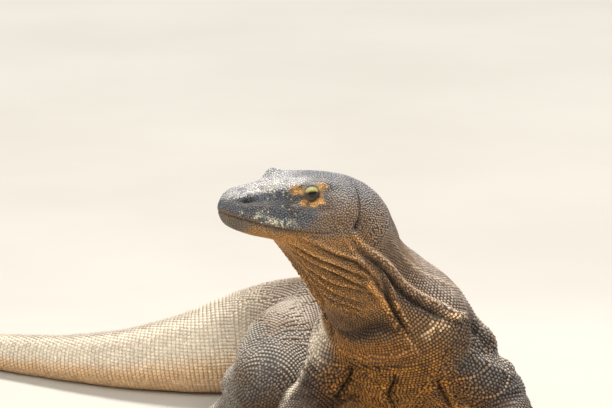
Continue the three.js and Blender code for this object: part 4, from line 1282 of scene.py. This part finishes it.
def buildScales(name, chosen, material):
    verts, loops, starts, totals, uvs = [], [], [], [], []
    floats = {m: [] for m in hideFloats}
    base, corner = 0, 0
    for kind, (shape, faces) in scaleKinds.items():
        mine = np.where(chosen & (coatKind == kind))[0]
        if not len(mine):
            continue
        size = coatWidth[mine][:, None, None]
        frames = np.stack([coatSide[mine], coatAlong[mine], coatUp[mine]], 1)
        local = np.repeat(shape[None], len(mine), 0)
        local[:, :, 1] *= (0.25 + 0.75 * coatPitch[mine])[:, None]      # longer where rows stand wider apart
        points = coatRoot[mine][:, None, :] + np.einsum("nvk,nkc->nvc", local, frames) * size
        points[..., 2] = np.maximum(points[..., 2], 0.02)      # soles stay on the floor
        verts.append(points.reshape(-1, 3))
        flat = np.concatenate([np.array(f) for f in faces])
        counts = np.array([len(f) for f in faces])
        shift = base + np.arange(len(mine))[:, None] * len(shape)
        loops.append((flat[None] + shift).ravel())
        begin = np.concatenate([[0], np.cumsum(counts)[:-1]])
        starts.append((corner + np.arange(len(mine))[:, None] * len(flat) + begin).ravel())
        totals.append(np.tile(counts, len(mine)))
        root = chartPoint(coat["chart"][mine], coat["run"][mine], coat["angle"][mine])
        patch = root[:, None, :] + shape[None, :, :2] * patchSize
        uvs.append(patch[:, flat].reshape(-1, 2))
        for mask, values in coatMasks.items():
            floats[mask].append(np.repeat(values[mine], len(shape)))
        floats["tone"].append(np.repeat(coatTone[mine], len(shape)))
        rise = np.clip((shape[:, 2] + 0.1) / (shape[:, 2].max() + 0.1), 0, 1)
        floats["rise"].append(np.tile(rise, len(mine)))
        base += len(mine) * len(shape)
        corner += len(mine) * len(flat)
    verts, loops, starts, totals, uvs = (np.concatenate(v) for v in (verts, loops, starts, totals, uvs))
    mesh = bpy.data.meshes.new(name)
    mesh.vertices.add(len(verts))
    mesh.vertices.foreach_set("co", toModel(verts).astype(np.float32).ravel())
    mesh.loops.add(len(loops))
    mesh.loops.foreach_set("vertex_index", loops.astype(np.int32))
    mesh.polygons.add(len(starts))
    mesh.polygons.foreach_set("loop_start", starts.astype(np.int32))
    mesh.polygons.foreach_set("use_smooth", np.ones(len(starts), bool))
    layer = mesh.uv_layers.new(name="OFBake")
    layer.data.foreach_set("uv", uvs.astype(np.float32).ravel())
    for mask, values in floats.items():
        setFloats(mesh, mask, np.concatenate(values))
    mesh.update(calc_edges=True)
    mesh.materials.append(material)
    piece = linked(name, mesh)
    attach(piece, "root")
    print(name, int(chosen.sum()), "scales", int((totals - 2).sum()), "triangles")


# Colours of the hide, as the light bounces off them; dark also stands for painted shade, pale partly for a
# painted highlight, tail also for the painted sunlight
hideColours = {"brown": (0.168, 0.096, 0.048), "slate": (0.068, 0.077, 0.097),
               "crown": (0.106, 0.122, 0.156), "pale": (0.335, 0.330, 0.342), "jaw": (0.145, 0.118, 0.092),
               "nape": (0.228, 0.172, 0.138), "throat": (0.280, 0.132, 0.034),
               "gular": (0.305, 0.124, 0.024), "rust": (0.375, 0.155, 0.020),
               "mottle": (0.056, 0.026, 0.010), "limb": (0.310, 0.280, 0.245),
               "tail": (0.880, 0.770, 0.620), "belly": (0.780, 0.520, 0.290),
               "stripe": (0.480, 0.400, 0.315), "lid": (0.700, 0.370, 0.100), "lip": (0.680, 0.650, 0.500),
               "scuff": (0.640, 0.430, 0.240), "dark": (0.022, 0.013, 0.009),
               "grey": (0.125, 0.086, 0.062), "speck": (0.06, 0.055, 0.045), "dustAndTopLight": (0.62, 0.55, 0.47)}
# The order in which the masks are laid over each other
hideLayers = ("slate", "nape", "limb", "tail", "belly", "stripe", "throat", "rust", "gular", "jaw", "crown",
              "pale", "mottle", "lip", "lid", "scuff")


def newGroup(name, inputs, outputs):
    group = bpy.data.node_groups.new(name, "ShaderNodeTree")
    for label, kind in inputs.items():
        group.interface.new_socket(name=label, in_out="INPUT", socket_type=kind)
    for label, kind in outputs.items():
        group.interface.new_socket(name=label, in_out="OUTPUT", socket_type=kind)
    return group, group.nodes.new("NodeGroupInput"), group.nodes.new("NodeGroupOutput")


def addNode(tree, kind, settings=None, **inputs):
    node = tree.nodes.new(kind)
    for key, value in (settings or {}).items():
        setattr(node, key, value)
    for key, value in inputs.items():
        socket = node.inputs[int(key[1:])] if key[1:].isdigit() else node.inputs[key]
        if isinstance(value, bpy.types.NodeSocket):
            tree.links.new(value, socket)
        else:
            socket.default_value = value
    return node


def times(tree, a, b):
    return addNode(tree, "ShaderNodeMath", {"operation": "MULTIPLY"}, i0=a, i1=b).outputs[0]


def attribute(tree, name):
    return addNode(tree, "ShaderNodeAttribute", {"attribute_name": name}).outputs["Fac"]


def objectPlace(tree):
    return addNode(tree, "ShaderNodeTexCoord").outputs["Object"]


def newMaterial(name):
    material = bpy.data.materials.new(name)
    material.use_nodes = True
    tree = material.node_tree
    return material, tree, tree.nodes["Principled BSDF"].inputs


def mixColour(tree, factor, a, b, blend="MIX"):
    node = addNode(tree, "ShaderNodeMix", {"data_type": "RGBA", "blend_type": blend, "clamp_factor": True})
    for index, value in ((0, factor), (6, a), (7, b)):
        if isinstance(value, bpy.types.NodeSocket):
            tree.links.new(value, node.inputs[index])
        else:
            node.inputs[index].default_value = (*value, 1) if isinstance(value, tuple) else value
    return node.outputs[2]


def mapRange(tree, value, low, high, outLow=0.0, outHigh=1.0):
    node = addNode(tree, "ShaderNodeMapRange", {"interpolation_type": "SMOOTHSTEP"}, i0=value, i1=low,
                   i2=high, i3=outLow, i4=outHigh)
    return node.outputs[0]


def noiseAt(tree, vector, scale, detail=3.0):
    return addNode(tree, "ShaderNodeTexNoise", Vector=vector, Scale=scale, Detail=detail).outputs["Fac"]


# The hide's colour from its masks: one group for the skin and every coat of scales
def makeHideColour():
    inputs = {"Vector": "NodeSocketVector", **{name.capitalize(): "NodeSocketFloat" for name in hideFloats}}
    group, given, put = newGroup("hide colour", inputs,
                                 {"Color": "NodeSocketColor", "Grain": "NodeSocketFloat"})
    at = given.outputs
    blotches, grain = noiseAt(group, at["Vector"], 14, 4), noiseAt(group, at["Vector"], 330, 5)
    greyed = mapRange(group, blotches, 0.35, 0.7, 0, 0.55)
    colour = mixColour(group, greyed, hideColours["brown"], hideColours["grey"])
    for name in hideLayers:
        least = 0.9 if name in ("tail", "belly") else 0.65
        uneven = mapRange(group, noiseAt(group, at["Vector"], 60 + 9 * len(name), 3), 0.25, 0.6, least, 1.0)
        amount = times(group, at[name.capitalize()], uneven)
        if name == "mottle":      # dark between the scales, paler on their tops
            amount = times(group, amount, mapRange(group, at["Rise"], 0.55, 1.0, 1.0, 0.40))
        colour = mixColour(group, amount, colour, hideColours[name])
    spots = addNode(group, "ShaderNodeTexVoronoi", Vector=at["Vector"], Scale=260.0).outputs["Distance"]
    speck = times(group, at["Lip"], mapRange(group, spots, 0.30, 0.42, 1, 0))
    colour = mixColour(group, times(group, speck, 0.75), colour, hideColours["speck"])
    worn = mixColour(group, 1.0, colour, (2.4, 2.4, 2.3), "MULTIPLY")
    colour = mixColour(group, times(group, at["Crest"], 0.75), colour, worn)

    def bySoftness(hard, soft):
        return mapRange(group, at["Soft"], 0.0, 1.0, hard, soft)

    # Darker between the scales, partly their own darker skin and partly painted shade; paler on the scale tops
    shade = mapRange(group, at["Rise"], 0.15, 1.0, bySoftness(0.28, 0.80), bySoftness(1.45, 1.12))
    # Painted shade in the troughs of the folds
    shade = times(group, shade, mapRange(group, at["Crease"], 0.0, 1.0, 1.0, 0.36))
    tone = mapRange(group, at["Tone"], -1.0, 1.0, bySoftness(0.68, 0.90), bySoftness(1.34, 1.10))
    shade = times(group, shade, tone)
    shade = times(group, shade, mapRange(group, grain, 0.3, 0.7, 0.82, 1.18))
    shade = addNode(group, "ShaderNodeCombineColor", Red=shade, Green=shade, Blue=shade).outputs[0]
    colour = mixColour(group, 1.0, colour, shade, "MULTIPLY")
    # Dark: mostly painted shade in recesses, folds and on shaded parts, also the scab and the eye's rim
    colour = mixColour(group, at["Dark"], colour, hideColours["dark"])
    group.links.new(colour, put.inputs["Color"])
    group.links.new(grain, put.inputs["Grain"])
    return group


# Partly pale dust settled on what faces up, partly painted light on those tops
def makeDustAndTopLight():
    inputs = {"Vector": "NodeSocketVector", "Color": "NodeSocketColor", "Amount": "NodeSocketFloat"}
    group, given, put = newGroup("dust and top light", inputs,
                                 {"Color": "NodeSocketColor", "DustAndTopLight": "NodeSocketFloat"})
    facing = addNode(group, "ShaderNodeSeparateXYZ",
                     i0=addNode(group, "ShaderNodeNewGeometry").outputs["Normal"])
    upward = mapRange(group, facing.outputs[2], 0.15, 0.95)
    patches = mapRange(group, noiseAt(group, given.outputs["Vector"], 22, 5), 0.3, 0.62, 0.25, 1.0)
    amount = times(group, times(group, upward, patches), given.outputs["Amount"])
    colour = mixColour(group, amount, given.outputs["Color"], hideColours["dustAndTopLight"])
    group.links.new(colour, put.inputs["Color"])
    group.links.new(amount, put.inputs["DustAndTopLight"])
    return group


hideColour, dustAndTopLightGroup = makeHideColour(), makeDustAndTopLight()


def placeGroup(tree, group, **links):
    node = tree.nodes.new("ShaderNodeGroup")
    node.node_tree = group
    for key, value in links.items():
        if isinstance(value, bpy.types.NodeSocket):
            tree.links.new(value, node.inputs[key])
        else:
            node.inputs[key].default_value = value
    return node


def hideMaterial(name, rough, bump, dustAndTopLight):
    material, tree, surface = newMaterial(name)
    place = objectPlace(tree)
    masks = {m.capitalize(): attribute(tree, m) for m in hideFloats}
    hide = placeGroup(tree, hideColour, Vector=place, **masks)
    dustedAndLit = placeGroup(tree, dustAndTopLightGroup, Vector=place, Color=hide.outputs["Color"], Amount=dustAndTopLight)
    tree.links.new(dustedAndLit.outputs["Color"], surface["Base Color"])
    grained = mapRange(tree, hide.outputs["Grain"], 0.3, 0.7, rough - 0.06, rough + 0.08)
    roughness = addNode(tree, "ShaderNodeMath", {"operation": "ADD", "use_clamp": True}, i0=grained,
                        i1=times(tree, dustedAndLit.outputs["DustAndTopLight"], 0.3))
    tree.links.new(roughness.outputs[0], surface["Roughness"])
    fine = addNode(tree, "ShaderNodeBump", Height=noiseAt(tree, place, 620, 4), Strength=bump,
                   Distance=0.0006)
    tree.links.new(fine.outputs[0], surface["Normal"])
    surface["Specular IOR Level"].default_value = 0.38
    return material


hides = {
    "skin": hideMaterial("skin", 0.58, 0.5, 0.30),
    "head": hideMaterial("head scales", 0.46, 0.35, 0.25),
    "neck": hideMaterial("neck scales", 0.50, 0.35, 0.20),
    "trunk": hideMaterial("trunk scales", 0.54, 0.40, 0.60),
    "tail": hideMaterial("tail scales", 0.54, 0.40, 0.40),
    "leg": hideMaterial("leg scales", 0.54, 0.40, 0.55),
    "arm": hideMaterial("arm scales", 0.50, 0.40, 0.15),
}
skin.data.materials.clear()
skin.data.materials.append(hides["skin"])
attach(skin, "root")
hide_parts(*[n for n in fleshNodes if "eye" not in n])

# The pieces of the body's coat: from one place to another, and their hide
coatPieces = {
    "headScales": (0, 9.6, "head"), "neckScales": (9.6, 12.3, "neck"),
    "neckBaseScales": (12.3, 14.2, "neck"), "trunkFrontScales": (14.2, 16.6, "trunk"),
    "trunkRearScales": (16.6, 19.3, "trunk"), "tailRootScales": (19.3, 21.6, "tail"),
    "tailMiddleScales": (21.6, 24.6, "tail"), "tailEndScales": (24.6, 30, "tail"),
}
for name, (low, high, hide) in coatPieces.items():
    chosen = isBody & (coatWhere["place"] >= low) & (coatWhere["place"] < high)
    buildScales(name, chosen, hides[hide])
for k, name in enumerate(legs):
    hide = "arm" if name.startswith("fore") else "leg"
    buildScales(name + "_scales", coat["chart"] == k + 1, hides[hide])
print("coat built")

def gridFaces(rings, segments):
    # Faces between closed rings of points, each ring after the one before
    corners = ((0, 0), (0, 1), (1, 1), (1, 0))
    return [[(i + di) * segments + (k + dk) % segments for di, dk in corners]
            for i in range(rings - 1) for k in range(segments)]


def turnOutward(mesh, welded=0):
    # Faces turned outward, and the first few points joined into one
    bm = bmesh.new()
    bm.from_mesh(mesh)
    bmesh.ops.remove_doubles(bm, verts=bm.verts[:welded], dist=1e-5)
    bmesh.ops.recalc_face_normals(bm, faces=bm.faces)
    bm.to_mesh(mesh)
    bm.free()
    mesh.polygons.foreach_set("use_smooth", [True] * len(mesh.polygons))


# The eyeball's net, how proud its clear front stands, and where its colours end, in radians from its middle
eyeballSettings = {"rings": 28, "segments": 48, "untilDegrees": 96, "proud": 0.035, "proudHalf": 0.55,
                   "pupil": (0.34, 0.42), "rim": (0.48, 0.66), "glint": (0.06, 0.26),
                   "glintEnd": (0.68, 0.50), "pupilTop": (0.10, 0.32)}
# The glint's colours are a painted reflection
eyeColours = {"iris": ((0.022, 0.011, 0.005), (0.090, 0.042, 0.014)), "rim": (0.060, 0.034, 0.014),
              "glint": ((0.16, 0.13, 0.03), (0.56, 0.50, 0.19)), "pupil": (0.004, 0.004, 0.004)}


def eyeMaterial():
    material, tree, surface = newMaterial("eye")
    sizes, colours = eyeballSettings, eyeColours
    fromPupil, above = attribute(tree, "fromPupil"), attribute(tree, "abovePupil")
    ray = addNode(tree, "ShaderNodeCombineXYZ", X=times(tree, attribute(tree, "aroundPupil"), 18.0),
                  Y=times(tree, fromPupil, 3.0)).outputs[0]
    streaks = noiseAt(tree, ray, 3.0, 4)
    iris = mixColour(tree, mapRange(tree, streaks, 0.3, 0.7), *colours["iris"])
    colour = mixColour(tree, mapRange(tree, fromPupil, *sizes["rim"]), iris, colours["rim"])
    # A painted reflection: a pale band over the upper iris, where the pupil is also left paler
    glint = times(tree, mapRange(tree, above, *sizes["glint"]), mapRange(tree, above, *sizes["glintEnd"]))
    colour = mixColour(tree, glint, colour, mixColour(tree, streaks, *colours["glint"]))
    pupil = times(tree, mapRange(tree, fromPupil, *sizes["pupil"], 1, 0),
                  mapRange(tree, above, *sizes["pupilTop"], 1, 0.25))
    colour = mixColour(tree, pupil, colour, colours["pupil"])
    tree.links.new(colour, surface["Base Color"])
    moist = mapRange(tree, noiseAt(tree, objectPlace(tree), 90, 2), 0.3, 0.7, 0.04, 0.09)
    tree.links.new(moist, surface["Roughness"])
    surface["IOR"].default_value = 1.34
    surface["Coat Weight"].default_value = 0.3
    surface["Coat Roughness"].default_value = 0.04
    return material


eyeHide = eyeMaterial()


def buildEye(side):
    middle, out, upward, backward = eyeFrame(side)
    rings, segments = eyeballSettings["rings"], eyeballSettings["segments"]
    verts, away, around, above = [], [], [], []
    for i in range(rings + 1):
        theta = math.radians(eyeballSettings["untilDegrees"]) * i / rings
        proud = eyeballSettings["proud"] * math.exp(-(theta / eyeballSettings["proudHalf"])**2)
        radius = eyeSettings["radius"]
        for k in range(segments):
            turn = 2 * math.pi * k / segments
            flat = backward * math.cos(turn) + upward * math.sin(turn)
            ray = out * math.cos(theta) + flat * math.sin(theta)
            verts.append(middle + ray * radius * (1 + proud))      # the clear front stands a little proud
            away.append(theta)
            around.append(abs(math.sin(turn * 1.5)))
            above.append(math.sin(theta) * math.sin(turn))
    verts.append(middle - out * eyeSettings["radius"] * 0.3)
    last = rings * segments
    faces = gridFaces(rings + 1, segments)
    faces += [[last + k, len(verts) - 1, last + (k + 1) % segments] for k in range(segments)]
    mesh = bpy.data.meshes.new("eyeball")
    mesh.from_pydata([tuple(v) for v in toModel(np.array(verts))], [], faces)
    setFloats(mesh, "fromPupil", away + [math.pi])
    setFloats(mesh, "aroundPupil", around + [0])
    setFloats(mesh, "abovePupil", above + [0])
    turnOutward(mesh, segments)
    mesh.materials.append(eyeHide)
    name = "left" if side > 0 else "right"
    eye = linked("eyeball_" + name, mesh)
    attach(eye, "root")
    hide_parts("eye_" + name)


for side in (1, -1):
    buildEye(side)

# The claw's net, its bend and section, and its colours from root to tip
clawSettings = {"rings": 14, "segments": 12, "droop": 0.16, "sunk": 0.12, "rootShare": 0.92, "taper": 0.62,
                "wide": 0.80, "under": 0.25, "tall": 1.05, "groove": 0.35, "lowest": 0.05}
clawColours = {"root": (0.10, 0.072, 0.05), "tip": (0.030, 0.024, 0.020), "streak": (0.24, 0.18, 0.125)}


def clawMaterial():
    material, tree, surface = newMaterial("claw horn")
    streaks = noiseAt(tree, objectPlace(tree), 240, 4)
    toTip = mapRange(tree, attribute(tree, "alongClaw"), 0.1, 0.95)
    colour = mixColour(tree, toTip, clawColours["root"], clawColours["tip"])
    colour = mixColour(tree, mapRange(tree, streaks, 0.45, 0.7, 0, 0.5), colour, clawColours["streak"])
    tree.links.new(colour, surface["Base Color"])
    tree.links.new(mapRange(tree, streaks, 0.3, 0.7, 0.28, 0.46), surface["Roughness"])
    lines = addNode(tree, "ShaderNodeBump", Height=streaks, Strength=0.35, Distance=0.0004)
    tree.links.new(lines.outputs[0], surface["Normal"])
    return material


clawHorn = clawMaterial()


def buildClaw(node):
    claw = clawSettings
    rings, segments = claw["rings"], claw["segments"]
    root, tip = clawEnds(node)
    points = toTable([v.co[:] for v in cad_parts[node].data.vertices])
    thick = np.linalg.norm(points - root, axis=1)
    length = np.linalg.norm(tip - root)
    rootRadius = claw["rootShare"] * np.percentile(thick[thick < 0.5 * length], 70)
    axis = unitRows(tip - root)
    sideways = unitRows(np.cross(upright, axis))
    start = root - axis * claw["sunk"] * length
    verts, along = [], []
    for i in range(rings):
        t = i / (rings - 1)
        middle = start + (tip - start) * t + upright * claw["droop"] * length * math.sin(math.pi * t) * 0.5
        radius = rootRadius * (1 - t)**claw["taper"] * 0.98 + 0.12
        for k in range(segments):
            turn = 2 * math.pi * k / segments
            below = max(0.0, -math.sin(turn))      # ridge above, groove below
            flat = claw["wide"] - claw["under"] * below**2
            groove = 1 - claw["groove"] * below**6 * (t > 0.1)
            aside = sideways * math.cos(turn) * radius * flat
            verts.append(middle + aside + upright * math.sin(turn) * radius * claw["tall"] * groove)
            along.append(t)
    verts = np.array(verts)
    verts[:, 2] = np.maximum(verts[:, 2], claw["lowest"])
    faces = gridFaces(rings, segments)
    faces += [list(range(segments))[::-1], [(rings - 1) * segments + k for k in range(segments)]]
    mesh = bpy.data.meshes.new("horn")
    mesh.from_pydata([tuple(v) for v in toModel(verts)], [], faces)
    setFloats(mesh, "alongClaw", along)
    turnOutward(mesh)
    mesh.materials.append(clawHorn)
    horn = linked(node + "_horn", mesh)
    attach(horn, "root")
    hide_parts(node)


for node in sorted(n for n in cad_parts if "claw" in n):
    buildClaw(node)
print("eyes and claws built")

# The floor's side in metres, the lamps' strengths, and the colours of floor and sky
studio = {"floor": 40.0, "sun": 4.4, "sunAngle": 12, "fill": 16.0, "window": 36.0, "world": 0.40,
          "floorColours": ((0.50, 0.475, 0.435), (0.54, 0.515, 0.475)), "sky": (0.94, 0.97, 1.0, 1)}


def buildStudio():
    bpy.ops.mesh.primitive_grid_add(x_subdivisions=4, y_subdivisions=4, size=studio["floor"])
    floor = bpy.context.object
    floor.name = "floor"
    material, tree, surface = newMaterial("studio floor")
    cloudy = mapRange(tree, noiseAt(tree, objectPlace(tree), 1.4, 4), 0.3, 0.7)
    tree.links.new(mixColour(tree, cloudy, *studio["floorColours"]), surface["Base Color"])
    surface["Roughness"].default_value = 0.9
    floor.data.materials.append(material)
    world = bpy.data.worlds.new("studio")
    bpy.context.scene.world = world
    world.use_nodes = True
    light = world.node_tree.nodes["Background"].inputs
    light["Color"].default_value, light["Strength"].default_value = studio["sky"], studio["world"]


def addLamp(name, kind, position, target, power, colour, **settings):
    lamp = bpy.data.lights.new(name, kind)
    lamp.energy, lamp.color = power, colour
    for key, value in settings.items():
        setattr(lamp, key, value)
    holder = linked(name, lamp)
    holder.location = position
    holder.rotation_euler = (Vector(target) - Vector(position)).to_track_quat("-Z", "Y").to_euler()


buildStudio()
# The key and fill lamps aim at the neck, and the window at the left eye, where it puts the bright spot
neckSpot, eyeSpot = toModel(np.array([0.0, 0.0, 260.0])), toModel(eyeFrame(1)[0])
keyFrom, fillFrom = neckSpot + np.array([1.0, 1.9, 3.6]), neckSpot + np.array([-2.6, -2.8, 0.9])
windowFrom = eyeSpot + 1.5 * np.array([0.10, -0.43, 0.90])
addLamp("key", "SUN", keyFrom, neckSpot, studio["sun"], (1.0, 0.965, 0.90),
        angle=math.radians(studio["sunAngle"]))
addLamp("fill", "AREA", fillFrom, neckSpot, studio["fill"], (1.0, 0.86, 0.68), size=2.4)
addLamp("window", "AREA", windowFrom, eyeSpot, studio["window"], (1.0, 0.97, 0.88), shape="RECTANGLE",
        size=2.4, size_y=1.3)
bpy.context.scene.view_settings.view_transform = "Standard"

viewpoint = {"target": (0, 0, 351), "distance": 5000 * unit, "elevation": 12.5, "lens": 262.6, "sensor": 36,
             "farthest": 100}
camera = bpy.data.cameras.new("camera")
camera.lens, camera.sensor_width = viewpoint["lens"], viewpoint["sensor"]
camera.clip_end = viewpoint["farthest"]
tripod = linked("camera", camera)
lookAt = toModel(np.array(viewpoint["target"], float))
tilt = math.radians(viewpoint["elevation"])
tripod.location = lookAt + viewpoint["distance"] * np.array([0, -math.cos(tilt), math.sin(tilt)])
tripod.rotation_euler = (math.pi / 2 - tilt, 0, 0)
bpy.context.scene.camera = tripod
